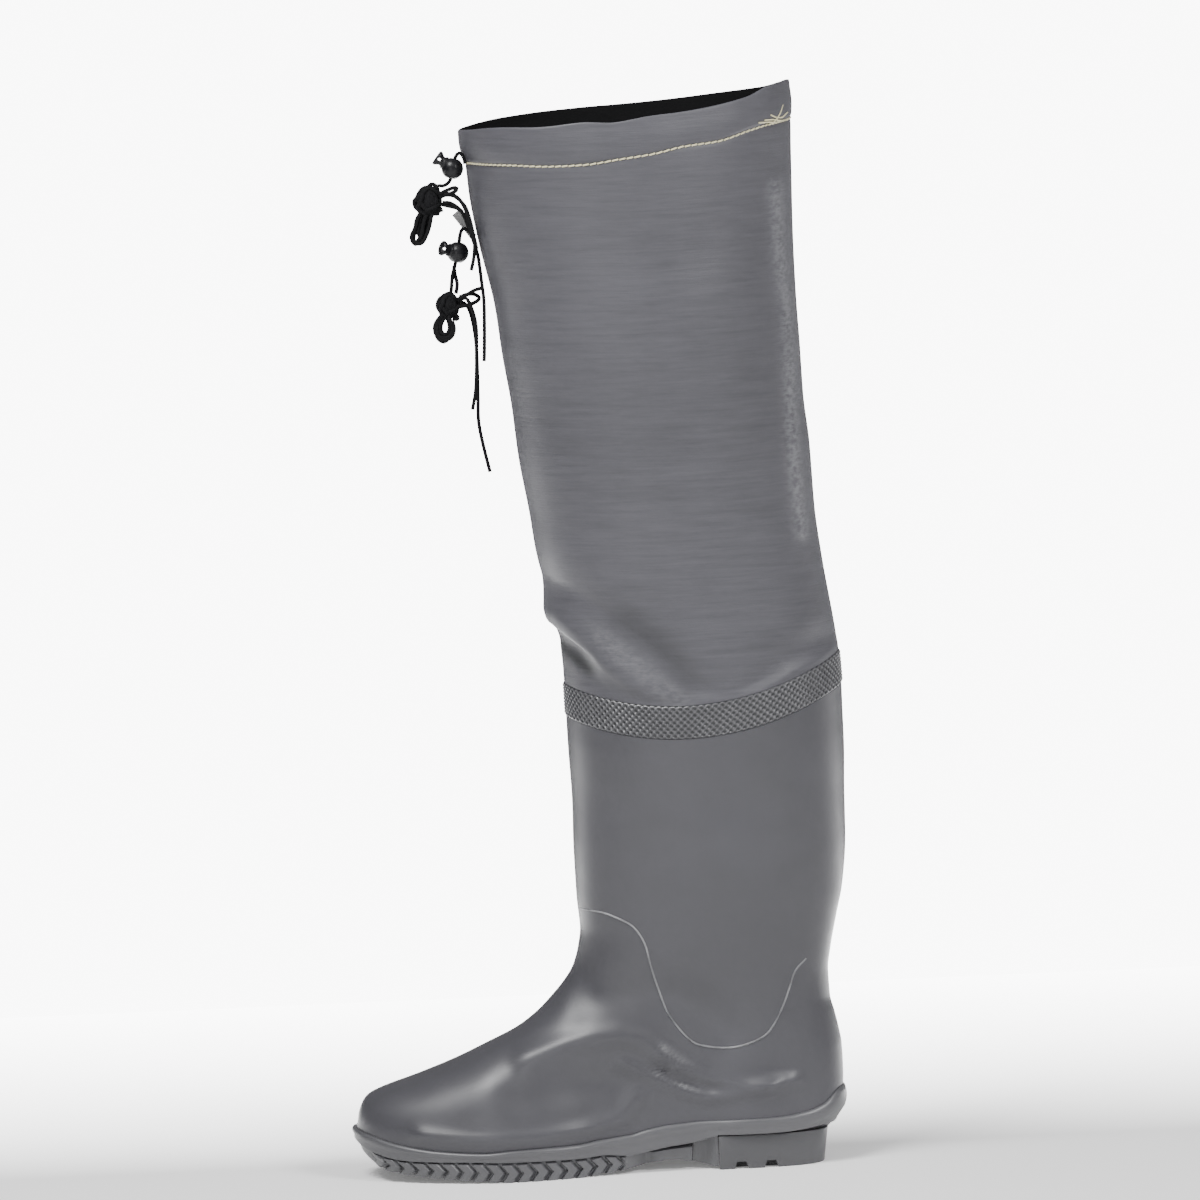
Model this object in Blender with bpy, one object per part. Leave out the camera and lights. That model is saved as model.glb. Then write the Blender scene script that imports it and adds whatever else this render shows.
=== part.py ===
"""One hip wader, the left boot: a moulded boot of foot and calf, a coated fabric shaft and its cords.

Metres, +Z up. The toe points to -X, the outer side of the leg is -Y, and the floor is z = 0.
A section of the shoe is worked out from the sizes below, and each table row holds shares of them.
"""

import math

import bmesh
import bpy
import numpy as np
from mathutils import Matrix, Vector

# Foot and sole
FOOT_LENGTH = 0.3041
HEEL_RIM_X = 0.1479
BALL_WIDTH = 0.102
HEEL_WIDTH = 0.070
HEEL_HEIGHT = 0.021
SOLE_THICKNESS = 0.020
RAND_BULGE = 0.0012
LEDGE_WIDTH = 0.006
BED_INSET = 0.0072
STEP_DEPTH = 0.0022
SIDE_SLOPE = 0.0022
ARCH_INSET = 0.008
HEEL_TUCK = 0.0058
INSOLE_THICKNESS = 0.003
INSOLE_CLEARANCE = 0.0012

# Tread
LUG_PITCH = 0.0092
LUG_FLAT = 0.0056
LUG_FLANK = 0.0008
LUG_DEPTH = 0.0024
RIB_RISE = 0.0016
RIB_SWEEP = 0.0035
HEEL_BLOCK_LENGTH = 0.0675
HEEL_BLOCK_WIDTH = 0.062
HEEL_BACK_STEP = 0.0125
HEEL_RAKE = 0.0029
BREAST_HOLLOW = 0.006
NOTCH_WIDTH = 0.0097
NOTCH_TOP_WIDTH = 0.0056
NOTCH_HEIGHT = 0.0045
NOTCH_DEPTH = 0.009

# Boot, band and shaft
ANKLE_HEIGHT = 0.137
ANKLE_WIDTH = 0.084
CALF_DEPTH = 0.1686
CALF_WIDTH = 0.114
THIGH_DEPTH = 0.200
THIGH_WIDTH = 0.150
LEG_SETBACK = 0.0776
THIGH_LEAN = 0.0325
BAND_HEIGHT = 0.297
BAND_SLOPE = 0.013
BAND_DIP = 0.0175
BAND_TALL = 0.020
BAND_RISE = 0.0006
RIM_HEIGHT = 0.649
RIM_SLOPE = 0.018
RIM_SAG = 0.004
RIM_CORNER = 0.0036
HEM_TALL = 0.0245
HEM_RISE = 0.0007
BOOT_WALL = 0.0025
SHAFT_WALL = 0.0012
UPPER_INSET = 0.0025

# Cords
CORD_DIAMETER = 0.0023
BALL_DIAMETER = 0.0132
BORE_DIAMETER = 0.0044
SOCKET_DIAMETER = 0.0068
SOCKET_DEPTH = 0.0026
PLUNGER_LENGTH = 0.0078
PLUNGER_FLARE = 0.0094
TAB_WIDTH = 0.0062
TAB_LENGTH = 0.0265
TAB_THICKNESS = 0.0013
TAB_HEIGHT = 0.5705
SEAM_THICKNESS = 0.0002

GAP = 0.0003
SIDE_POINTS = 22

TOE_X = HEEL_RIM_X - FOOT_LENGTH
CALF_X = HEEL_RIM_X - LEG_SETBACK
THIGH_X = CALF_X - THIGH_LEAN
HEEL_FRONT = 1 - (HEEL_BACK_STEP + HEEL_BLOCK_LENGTH) / FOOT_LENGTH

# Sole lines. along: share of FOOT_LENGTH from the toe. tread: share of HEEL_HEIGHT above the floor.
# foot, top and bed of the rand: shares of SOLE_THICKNESS above the tread.
SOLE_COLUMNS = ("along", "tread", "foot", "top", "bed")
SOLE_ROWS = (
    (0.000, 0.810, 0.350, 0.700, 0.500),
    (0.020, 0.595, 0.375, 0.825, 0.700),
    (0.041, 0.420, 0.435, 0.925, 0.835),
    (0.084, 0.286, 0.425, 0.890, 0.815),
    (0.164, 0.157, 0.510, 0.845, 0.775),
    (0.254, 0.057, 0.600, 0.870, 0.805),
    (0.325, 0.000, 0.620, 0.980, 0.910),
    (0.450, 0.000, 0.590, 1.020, 0.950),
    (0.503, 0.067, 0.570, 1.050, 0.980),
    (0.563, 0.162, 0.420, 1.040, 0.970),
    (0.600, 0.235, 0.440, 1.100, 1.030),
    (0.650, 0.315, 0.475, 1.120, 1.050),
    (0.696, 0.240, 0.650, 1.248, 1.178),
    (HEEL_FRONT, 0.080, 0.950, 1.432, 1.362),
    (HEEL_FRONT + 0.0007, 1.000, 0.020, 0.465, 0.395),
    (0.780, 1.000, 0.020, 0.475, 0.405),
    (0.863, 1.000, 0.030, 0.500, 0.410),
    (0.926, 1.000, 0.060, 0.620, 0.415),
    (0.959, 1.000, 0.090, 0.785, 0.420),
    (0.993, 1.000, 0.120, 1.180, 0.425),
    (1.000, 1.000, 0.125, 1.200, 0.425),
)

# Outline of the sole. ball and heel: fullness as shares of BALL_WIDTH and HEEL_WIDTH, so that the half
# width is the fullness times the half chord of a circle. bend: centre line to the inside, of BALL_WIDTH.
OUTLINE_COLUMNS = ("along", "ball", "heel", "bend")
OUTLINE_ROWS = (
    (0.00, 0.700, 0.000, 0.085),
    (0.05, 0.672, 0.000, 0.078),
    (0.12, 0.635, 0.000, 0.062),
    (0.20, 0.594, 0.000, 0.040),
    (0.31, 0.541, 0.000, 0.010),
    (0.45, 0.426, 0.000, 0.004),
    (0.60, 0.200, 0.245, 0.018),
    (0.75, 0.000, 0.578, 0.012),
    (0.85, 0.000, 0.690, 0.000),
    (0.93, 0.000, 0.800, 0.000),
    (1.00, 0.000, 0.955, 0.000),
)

# Top line of the foot, from the toe to the bend of the ankle.
# back: share of FOOT_LENGTH from the heel rim. height: share of ANKLE_HEIGHT.
TOP_LINE_COLUMNS = ("height", "back")
TOP_LINE_ROWS = (
    (0.190, 0.9923),
    (0.251, 0.9874),
    (0.289, 0.9840),
    (0.340, 0.9745),
    (0.367, 0.9640),
    (0.390, 0.9450),
    (0.455, 0.8629),
    (0.523, 0.7850),
    (0.588, 0.7215),
    (0.654, 0.6590),
    (0.723, 0.6160),
    (0.788, 0.5870),
    (0.861, 0.5605),
    (0.927, 0.5420),
    (1.000, 0.5300),
)

# Back line of the heel. inset: share of HEEL_WIDTH from the heel rim.
HEEL_LINE_COLUMNS = ("height", "inset")
HEEL_LINE_ROWS = (
    (0.190, 0.0360),
    (0.327, 0.0290),
    (0.445, 0.0257),
    (0.518, 0.0286),
    (0.591, 0.0486),
    (0.664, 0.0770),
    (0.737, 0.1080),
    (0.847, 0.1130),
    (0.950, 0.0830),
)

# Calf. rise: share of the way from ANKLE_HEIGHT to BAND_HEIGHT. front and back: shares of CALF_DEPTH.
# half: share of CALF_WIDTH.
CALF_COLUMNS = ("rise", "front", "back", "half")
CALF_ROWS = (
    (0.08, 0.4820, 0.4510, 0.3816),
    (0.20, 0.4875, 0.4765, 0.4035),
    (0.39, 0.4880, 0.4950, 0.4386),
    (0.57, 0.4905, 0.4985, 0.4650),
    (0.76, 0.4970, 0.5040, 0.4870),
    (0.94, 0.5000, 0.5030, 0.5000),
)

# Shaft. rise: share of the way from BAND_HEIGHT to RIM_HEIGHT. front and back: shares of THIGH_DEPTH.
# half: share of THIGH_WIDTH.
SHAFT_COLUMNS = ("rise", "front", "back", "half")
SHAFT_ROWS = (
    (0.024, 0.261, 0.5835, 0.385),
    (0.080, 0.272, 0.5765, 0.392),
    (0.109, 0.288, 0.5695, 0.396),
    (0.143, 0.300, 0.5600, 0.400),
    (0.208, 0.322, 0.5430, 0.410),
    (0.298, 0.339, 0.5260, 0.423),
    (0.409, 0.369, 0.5195, 0.440),
    (0.496, 0.383, 0.5065, 0.453),
    (0.584, 0.405, 0.5030, 0.467),
    (0.669, 0.422, 0.4985, 0.477),
    (0.782, 0.463, 0.4980, 0.487),
    (0.864, 0.484, 0.4985, 0.493),
    (0.920, 0.491, 0.4990, 0.497),
    (0.977, 0.505, 0.5005, 0.500),
    (1.037, 0.505, 0.4980, 0.500),
)

# Soft folds of the fabric above the band. A fold runs from one place to another: around is the share of
# the way from front to back on the outer side, up the share of the shaft's height. rise is a ridge where
# it is above zero and a trough below it, in metres, and reach is its half width.
FOLD_COLUMNS = ("around", "up", "around_end", "up_end", "rise", "reach")
FOLD_ROWS = (
    (-0.16, 0.150, 0.10, 0.075, -0.0028, 0.010),
    (-0.20, 0.105, 0.16, 0.030, 0.0020, 0.009),
    (0.16, 0.105, 0.50, 0.045, 0.0016, 0.012),
)

# Cord locks: the ball's centre, the way the cord runs through it and the way its plunger points.
LOCKS = {
    "upper": {
        "ball": (-0.0681, -0.0145, 0.6184),
        "cord_way": (-0.30, 0.0, -0.954),
        "plunger_way": (-0.79, 0.0, 0.61),
    },
    "lower": {
        "ball": (-0.0672, -0.0040, 0.5663),
        "cord_way": (-0.22, 0.0, -0.975),
        "plunger_way": (-0.82, -0.48, 0.31),
    },
}

# Knots: centre and half sizes of the bundle.
KNOTS = {
    "upper": {"centre": (-0.0838, -0.0130, 0.5988), "half": (0.0082, 0.0065, 0.0095)},
    "lower": {"centre": (-0.0745, -0.0040, 0.5340), "half": (0.0068, 0.0058, 0.0078)},
}

# Cord routes, points chosen by hand in metres. A port is the side of a knot that an end leaves or meets.
CORDS = {
    "drawcord_upper": {
        "points": (
            (-0.0604, -0.0145, 0.6208),
            (-0.0608, -0.0145, 0.6240),
            (-0.0621, -0.0145, 0.6266),
            (-0.0638, -0.0145, 0.6276),
            (-0.0659, -0.0145, 0.6254),
            (-0.0681, -0.0145, 0.6184),
            (-0.0699, -0.0144, 0.6112),
            (-0.0738, -0.0140, 0.6081),
        ),
        "end": ("upper", (0.55, -0.05, 0.80)),
    },
    "loop_upper": {
        "start": ("upper", (-0.62, -0.25, -0.85)),
        "points": (
            (-0.0925, -0.0148, 0.5833),
            (-0.0950, -0.0150, 0.5775),
            (-0.0925, -0.0145, 0.5730),
            (-0.0885, -0.0138, 0.5763),
            (-0.0866, -0.0128, 0.5821),
        ),
        "end": ("upper", (-0.15, 0.10, -1.0)),
    },
    "tail_upper_short": {
        "start": ("upper", (0.95, -0.25, 0.35)),
        "points": (
            (-0.0680, -0.0170, 0.6018),
            (-0.0620, -0.0198, 0.5964),
            (-0.0596, -0.0205, 0.5902),
            (-0.0580, -0.0205, 0.5833),
            (-0.0567, -0.0205, 0.5740),
            (-0.0574, -0.0202, 0.5649),
            (-0.0594, -0.0198, 0.5564),
        ),
    },
    "tail_upper_long": {
        "start": ("upper", (1.0, -0.10, -0.10)),
        "points": (
            (-0.0700, -0.0145, 0.5973),
            (-0.0642, -0.0155, 0.5928),
            (-0.0606, -0.0160, 0.5847),
            (-0.0576, -0.0160, 0.5747),
            (-0.0550, -0.0158, 0.5647),
            (-0.0535, -0.0155, 0.5487),
            (-0.0526, -0.0153, 0.5370),
            (-0.0530, -0.0150, 0.5211),
            (-0.0537, -0.0150, 0.5057),
            (-0.0541, -0.0150, 0.5003),
        ),
    },
    "drawcord_lower": {
        "points": (
            (-0.0561, -0.0070, 0.5760),
            (-0.0605, -0.0066, 0.5796),
            (-0.0632, -0.0058, 0.5808),
            (-0.0653, -0.0047, 0.5773),
            (-0.0672, -0.0040, 0.5663),
            (-0.0695, -0.0040, 0.5580),
            (-0.0712, -0.0041, 0.5518),
        ),
        "end": ("lower", (0.22, 0.0, 0.95)),
    },
    "loop_lower": {
        "start": ("lower", (-0.60, -0.20, -0.80)),
        "points": (
            (-0.0816, -0.0060, 0.5218),
            (-0.0824, -0.0061, 0.5158),
            (-0.0784, -0.0057, 0.5121),
            (-0.0742, -0.0050, 0.5153),
            (-0.0737, -0.0043, 0.5208),
        ),
        "end": ("lower", (0.10, 0.0, -1.0)),
    },
    "tail_lower_short": {
        "start": ("lower", (0.95, -0.30, 0.45)),
        "points": (
            (-0.0632, -0.0075, 0.5383),
            (-0.0606, -0.0085, 0.5331),
            (-0.0586, -0.0090, 0.5256),
            (-0.0580, -0.0090, 0.5182),
            (-0.0585, -0.0090, 0.5059),
            (-0.0591, -0.0090, 0.4931),
            (-0.0602, -0.0090, 0.4814),
            (-0.0625, -0.0090, 0.4705),
        ),
    },
    "tail_lower_long": {
        "start": ("lower", (0.95, 0.25, 0.15)),
        "points": (
            (-0.0640, -0.0025, 0.5344),
            (-0.0614, -0.0015, 0.5294),
            (-0.0593, -0.0010, 0.5183),
            (-0.0585, -0.0010, 0.5059),
            (-0.0586, -0.0015, 0.4906),
            (-0.0589, -0.0020, 0.4765),
            (-0.0592, -0.0025, 0.4630),
            (-0.0573, -0.0030, 0.4494),
            (-0.0536, -0.0030, 0.4314),
        ),
    },
}


def column(rows, columns, name):
    """One column of a table."""
    return np.array([row[columns.index(name)] for row in rows])


def smooth(places, values, at):
    """A curve through the values at their places, which never overshoots them."""
    steps = np.diff(places)
    rises = np.diff(values) / steps
    slopes = np.concatenate([rises[:1], np.zeros(len(rises) - 1), rises[-1:]])
    for i in range(1, len(rises)):
        if rises[i - 1] * rises[i] > 0:
            slopes[i] = 2 * rises[i - 1] * rises[i] / (rises[i - 1] + rises[i])
    at = np.clip(at, places[0], places[-1])
    k = np.clip(np.searchsorted(places, at, side="right") - 1, 0, len(steps) - 1)
    t = (at - places[k]) / steps[k]
    start = values[k] * (1 + 2 * t) + slopes[k] * steps[k] * t
    end = values[k + 1] * (3 - 2 * t) + slopes[k + 1] * steps[k] * (t - 1)
    return start * (1 - t) ** 2 + end * t**2


def ease(t):
    """A soft step from 0 to 1."""
    t = np.clip(t, 0, 1)
    return t * t * (3 - 2 * t)


def sole_line(name, along):
    """Height of one line of the sole at a share of the foot's length."""
    places = column(SOLE_ROWS, SOLE_COLUMNS, "along")
    tread = HEEL_HEIGHT * smooth(places, column(SOLE_ROWS, SOLE_COLUMNS, "tread"), along)
    if name == "tread":
        return tread
    share = smooth(places, column(SOLE_ROWS, SOLE_COLUMNS, name), along)
    return tread + SOLE_THICKNESS * share


def outline(along, inset):
    """x, half width and centre line of the foot's outline, drawn in by an inset."""
    places = column(OUTLINE_ROWS, OUTLINE_COLUMNS, "along")
    ball = smooth(places, column(OUTLINE_ROWS, OUTLINE_COLUMNS, "ball"), along)
    heel = smooth(places, column(OUTLINE_ROWS, OUTLINE_COLUMNS, "heel"), along)
    bend = smooth(places, column(OUTLINE_ROWS, OUTLINE_COLUMNS, "bend"), along)
    x = TOE_X + inset + along * (FOOT_LENGTH - 2 * inset)
    chord = 2 * np.sqrt(np.clip(along * (1 - along), 0, None))
    half = (BALL_WIDTH * ball + HEEL_WIDTH * heel - inset) * chord
    return x, half, BALL_WIDTH * bend


def foot_share(x):
    """How far along the foot a place is, from 0 at the toe to 1 at the heel rim."""
    return np.clip((x - TOE_X) / FOOT_LENGTH, 0, 1)


def leg_rows():
    """Height, front, back and half width of each leg section above the ankle."""
    rows = []
    for rise, front, back, half in CALF_ROWS:
        z = ANKLE_HEIGHT + rise * (BAND_HEIGHT - ANKLE_HEIGHT)
        rows.append((z, CALF_X - front * CALF_DEPTH, CALF_X + back * CALF_DEPTH, half * CALF_WIDTH))
    for rise, front, back, half in SHAFT_ROWS:
        z = BAND_HEIGHT + rise * (RIM_HEIGHT - BAND_HEIGHT)
        rows.append((z, THIGH_X - front * THIGH_DEPTH, THIGH_X + back * THIGH_DEPTH, half * THIGH_WIDTH))
    return rows


def front_x(z):
    """The front outline, from the toe over the instep and up the leg."""
    rows = [(h * ANKLE_HEIGHT, HEEL_RIM_X - back * FOOT_LENGTH) for h, back in TOP_LINE_ROWS]
    rows += [(row[0], row[1]) for row in leg_rows()]
    places, values = np.array(rows).T
    return smooth(places, values, z)


def back_x(z):
    """The back outline, from the heel up the leg."""
    rows = [(h * ANKLE_HEIGHT, HEEL_RIM_X - inset * HEEL_WIDTH) for h, inset in HEEL_LINE_ROWS]
    rows += [(row[0], row[2]) for row in leg_rows()]
    places, values = np.array(rows).T
    return smooth(places, values, z)


def leg_half(z):
    """Half width of the leg's oval."""
    rows = [(0.0, 0.46 * ANKLE_WIDTH), (0.7 * ANKLE_HEIGHT, 0.48 * ANKLE_WIDTH)]
    rows += [(ANKLE_HEIGHT, 0.5 * ANKLE_WIDTH)]
    rows += [(row[0], row[3]) for row in leg_rows()]
    places, values = np.array(rows).T
    return smooth(places, values, z)


def instep_height(x):
    """Height of the foot's top line at x. Behind the ankle's bend it runs on up the leg."""
    heights = column(TOP_LINE_ROWS, TOP_LINE_COLUMNS, "height") * ANKLE_HEIGHT
    places = HEEL_RIM_X - column(TOP_LINE_ROWS, TOP_LINE_COLUMNS, "back") * FOOT_LENGTH
    beyond = np.clip(x - places[-1], 0, None)
    return smooth(places, heights, x) + 4 * beyond


def around_angles():
    """Angles from the front (0) to the back (pi) of a section."""
    return np.linspace(0, math.pi, SIDE_POINTS)


def rand_top(along):
    """Height of the rand's top edge, straight between the stations of the upper's lower edge."""
    stations = (1 - np.cos(around_angles())) / 2
    return np.interp(along, stations, sole_line("top", stations))


def foot_ring(tip_height, follow):
    """x, centre line, half width and height along one section of the foot and ankle.

    follow is near 1 where the section follows the sole's rand, and 0 where it is level.
    """
    turn = around_angles()
    share = (1 - np.cos(turn)) / 2
    z = tip_height + (rand_top(share) - rand_top(0)) * follow
    x_front, x_back = front_x(z[0]), back_x(z[-1])
    x = x_front + (x_back - x_front) * share
    last_x = x - (x_back - (HEEL_RIM_X - UPPER_INSET)) * share**2
    along = (last_x - TOE_X - UPPER_INSET) / (FOOT_LENGTH - 2 * UPPER_INSET)
    _, half, centre = outline(np.clip(along, 0, 1), UPPER_INSET)
    base = rand_top(foot_share(x))
    climb = np.clip((z - base) / np.maximum(instep_height(x) - base, 1e-6), 0, 1)
    dome = np.sqrt(1 - climb**2.3)
    leg = ease((z / ANKLE_HEIGHT - 0.40) / 0.58)
    width = (1 - leg) * half * dome + leg * leg_half(z) * np.sin(turn)
    width[0] = width[-1] = 0
    return x, (1 - leg) * centre, width, z


def leg_ring(height):
    """One section of the leg: height is a function of the angle from the front."""
    turn = around_angles()
    z = height(turn)
    x = front_x(z) + (back_x(z) - front_x(z)) * (1 - np.cos(turn)) / 2
    return x, np.zeros(SIDE_POINTS), leg_half(z) * np.sin(turn), z


def band_line(turn):
    """Middle of the join band, which dips on both sides of the calf and stands higher at the back."""
    return BAND_HEIGHT - BAND_SLOPE / 2 * np.cos(turn) - BAND_DIP * np.sin(turn) ** 2


def rim_line(turn):
    """Top rim of the shaft: higher at the back, with a raised corner there."""
    level = RIM_HEIGHT - RIM_SLOPE / 2 * np.cos(turn)
    return level - RIM_SAG * np.sin(turn) ** 2 + RIM_CORNER * ((1 - np.cos(turn)) / 2) ** 12


def closed_ring(x, centre, half, z):
    """Points once round a section: the outer side (-Y) from front to back, then the inner side."""
    outer = [(x[i], centre[i] - half[i], z[i]) for i in range(len(x))]
    inner = [(x[i], centre[i] + half[i], z[i]) for i in range(len(x) - 2, 0, -1)]
    return np.array(outer + inner)


def offset_grid(rings, distance):
    """The surface through the rings moved inwards. The end rings stay at their height."""
    rings = np.array(rings)
    across = np.roll(rings, -1, axis=1) - np.roll(rings, 1, axis=1)
    up = np.gradient(rings, axis=0)
    normals = np.cross(up, across)
    for end in (0, -1):
        normals[end, :, 2] = 0
    normals /= np.linalg.norm(normals, axis=2, keepdims=True)
    return rings + normals * np.reshape(distance, (-1, 1, 1))


def ring_faces(rows, around, start=0):
    """Quads between neighbouring rings, each ring closed."""
    faces = []
    for r in range(rows - 1):
        for i in range(around):
            j = (i + 1) % around
            a = start + r * around
            faces.append((a + i, a + j, a + around + j, a + around + i))
    return faces


def strip_cap(start, around, flip):
    """Quads across a flat-bottomed ring, from each point of one side to its twin on the other."""
    faces = []
    half = around // 2
    for i in range(half):
        a, b = start + i, start + i + 1
        c, d = start + (around - i - 1) % around, start + (around - i) % around
        corners = [a, b, c, d] if i not in (0, half - 1) else [a, b, c] if i == 0 else [a, b, d]
        faces.append(tuple(reversed(corners)) if flip else tuple(corners))
    return faces


def material(name, colour, roughness, metallic=0.0):
    made = bpy.data.materials.new(name)
    made.use_nodes = True
    shader = made.node_tree.nodes["Principled BSDF"]
    shader.inputs["Base Color"].default_value = (*colour, 1)
    shader.inputs["Roughness"].default_value = roughness
    shader.inputs["Metallic"].default_value = metallic
    return made


def add_mesh(name, points, faces, finish, sharp=35):
    """A smooth shaded object from points and faces, with its faces turned outwards."""
    mesh = bpy.data.meshes.new(name)
    mesh.from_pydata([tuple(p) for p in points], [], faces)
    build = bmesh.new()
    build.from_mesh(mesh)
    bmesh.ops.recalc_face_normals(build, faces=build.faces)
    if build.calc_volume(signed=True) < 0:
        bmesh.ops.reverse_faces(build, faces=build.faces)
    build.to_mesh(mesh)
    build.free()
    mesh.shade_smooth()
    mesh.set_sharp_from_angle(angle=math.radians(sharp))
    obj = bpy.data.objects.new(name, mesh)
    obj.data.materials.append(finish)
    bpy.context.scene.collection.objects.link(obj)
    return obj


def add_tube_wall(name, outer, inner, finish):
    """A hollow wall from its outer and inner surfaces, closed at both open ends."""
    rows, around = len(outer), len(outer[0])
    points = np.concatenate([np.reshape(outer, (-1, 3)), np.reshape(inner, (-1, 3))])
    shift = rows * around
    faces = ring_faces(rows, around)
    faces += [tuple(reversed(face)) for face in ring_faces(rows, around, shift)]
    for end in (0, (rows - 1) * around):
        for i in range(around):
            j = (i + 1) % around
            faces.append((end + i, end + j, shift + end + j, shift + end + i))
    return add_mesh(name, points, faces, finish)


def cut(obj, cutter):
    """Takes a cutter's shape out of an object and hides the cutter."""
    cutter.hide_render = True
    cutter.display_type = "WIRE"
    modifier = obj.modifiers.new(cutter.name, "BOOLEAN")
    modifier.operation = "DIFFERENCE"
    modifier.solver = "EXACT"
    modifier.object = cutter


def tread_stations():
    """Shares along the sole, and for each whether it is on a lug: 1, in a groove: 0."""
    first, last = 0.082, 0.545
    pitch = LUG_PITCH / FOOT_LENGTH
    lug = LUG_FLAT / FOOT_LENGTH
    flank = LUG_FLANK / FOOT_LENGTH
    edge = (1 - np.cos(around_angles())) / 2
    stations = [(share, 0) for share in edge if share < first - 0.02]
    for n in range(int((last - first) / pitch)):
        at = first + n * pitch
        stations += [(at, 0), (at + flank, 1), (at + flank + lug, 1), (at + 2 * flank + lug, 0)]
    stations += [(share, 0) for share in np.linspace(stations[-1][0], HEEL_FRONT, 8)[1:]]
    stations.append((HEEL_FRONT + 0.0007, 0))
    stations += [(share, 0) for share in edge if share > HEEL_FRONT + 0.01]
    return np.array([s for s, _ in stations]), np.array([lug for _, lug in stations])


def sole_ring(along, inset, z, sweep=0.0):
    """One line round the sole, its points swept towards the heel along the ribbed side."""
    x, half, centre = outline(along, inset)
    ribbed = ease((along - 0.06) / 0.05) * ease((0.57 - along) / 0.05)
    return closed_ring(x + sweep * ribbed, centre, half, z)


def squared(along, inset):
    """Shares along a drawn-in line, moved so that the waist ends square against the heel block."""
    end = (HEEL_FRONT * FOOT_LENGTH - GAP - inset) / (FOOT_LENGTH - 2 * inset)
    near = ease((along - HEEL_FRONT + 0.04) / 0.04) * ease((HEEL_FRONT + 0.03 - along) / 0.03)
    return along + (end - HEEL_FRONT) * near


def make_sole(finish):
    """The outsole: footbed, ledge for the upper, rounded rand, ribbed side, waist, heel lip and tread."""
    along, lug = tread_stations()
    tread, foot = sole_line("tread", along), sole_line("foot", along)
    top, bed = rand_top(along), sole_line("bed", along)
    arch = ARCH_INSET * ease((along - 0.55) / 0.06) * ease((HEEL_FRONT - along) / 0.03)
    tuck = HEEL_TUCK * ease((along - 0.86) / 0.13)
    ribbed = ease((along - 0.06) / 0.03) * ease((0.57 - along) / 0.03)
    rib = RIB_RISE * lug
    groove = LUG_DEPTH * (1 - lug) * ribbed
    low = RAND_BULGE + STEP_DEPTH
    rings = [
        sole_ring(along, BED_INSET, bed),
        sole_ring(along, LEDGE_WIDTH, top),
        sole_ring(along, RAND_BULGE, top),
        sole_ring(along, 0.3 * RAND_BULGE, top - 0.08 * SOLE_THICKNESS),
        sole_ring(along, 0.1 * tuck, top - 0.45 * (top - foot)),
        sole_ring(along, RAND_BULGE + tuck, foot),
    ]
    side = low + arch + tuck - rib
    for slope, z, sweep in (
        (0.0, foot - 0.06 * (foot - tread), 0.0),
        (0.4 * SIDE_SLOPE, (foot + tread) / 2, RIB_SWEEP),
        (SIDE_SLOPE, tread + groove, 0.0),
    ):
        rings.append(sole_ring(squared(along, side + slope), side + slope, z, sweep))
    around = len(rings[0])
    points = np.concatenate(rings)
    faces = ring_faces(len(rings), around)
    faces += strip_cap(0, around, flip=True)
    faces += strip_cap((len(rings) - 1) * around, around, flip=False)
    return add_mesh("sole", points, faces, finish)


def heel_loop(length, width, z):
    """The heel block's outline: hollow breast in front, round at the back."""
    start = HEEL_RIM_X - HEEL_BACK_STEP - HEEL_BLOCK_LENGTH
    turns = np.linspace(0, math.pi / 2, 9)
    side = [(start + length * math.sin(t) ** 0.7, width / 2 * math.cos(t) ** 0.55) for t in turns[:-1]]
    outer = [(x, -y, z) for x, y in side] + [(start + length, 0, z)]
    inner = [(x, y, z) for x, y in reversed(side)]
    breast = []
    for share in np.linspace(0.8, -0.8, 5):
        breast.append((start + BREAST_HOLLOW * (1 - share**2), share * width / 2, z))
    return outer + inner + breast


def make_heel(finish):
    """The heel block, raked at the back, with two notches in each side of its tread."""
    rows = ((0.0, HEEL_RAKE, 0.0), (0.5, 0.5 * HEEL_RAKE, 0.4 * HEEL_RAKE), (1.0, 0.0, 0.6 * HEEL_RAKE))
    loops = []
    for share, shorter, wider in rows:
        loop = heel_loop(
            HEEL_BLOCK_LENGTH - shorter, HEEL_BLOCK_WIDTH + wider, share * (HEEL_HEIGHT - GAP)
        )
        loops.append(loop)
    around = len(loops[0])
    points = [point for loop in loops for point in loop]
    faces = ring_faces(len(loops), around)
    faces += [tuple(reversed(range(around))), tuple(range(2 * around, 3 * around))]
    heel = add_mesh("heel", points, faces, finish)
    front = HEEL_RIM_X - HEEL_BACK_STEP - HEEL_BLOCK_LENGTH
    for n, share in enumerate((0.20, 0.47)):
        for side in (-1, 1):
            middle = front + share * HEEL_BLOCK_LENGTH
            cut(heel, notch_cutter(f"notch_cutter_{n}_{'outer' if side < 0 else 'inner'}", middle, side))
    return heel


def notch_cutter(name, middle, side):
    """A trapezoid bar that cuts a notch into one side of the heel's tread."""
    low, high = -0.002, NOTCH_HEIGHT
    near = HEEL_BLOCK_WIDTH / 2 - NOTCH_DEPTH
    far = HEEL_BLOCK_WIDTH / 2 + NOTCH_DEPTH
    points = []
    for y in (side * near, side * far):
        for half, z in ((NOTCH_WIDTH / 2, low), (NOTCH_TOP_WIDTH / 2, high)):
            points += [(middle - half, y, z), (middle + half, y, z)]
    faces = [(0, 1, 3, 2), (4, 6, 7, 5), (0, 4, 5, 1), (2, 3, 7, 6), (0, 2, 6, 4), (1, 5, 7, 3)]
    return add_mesh(name, points, faces, bpy.data.materials["rubber_heel"])


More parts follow.
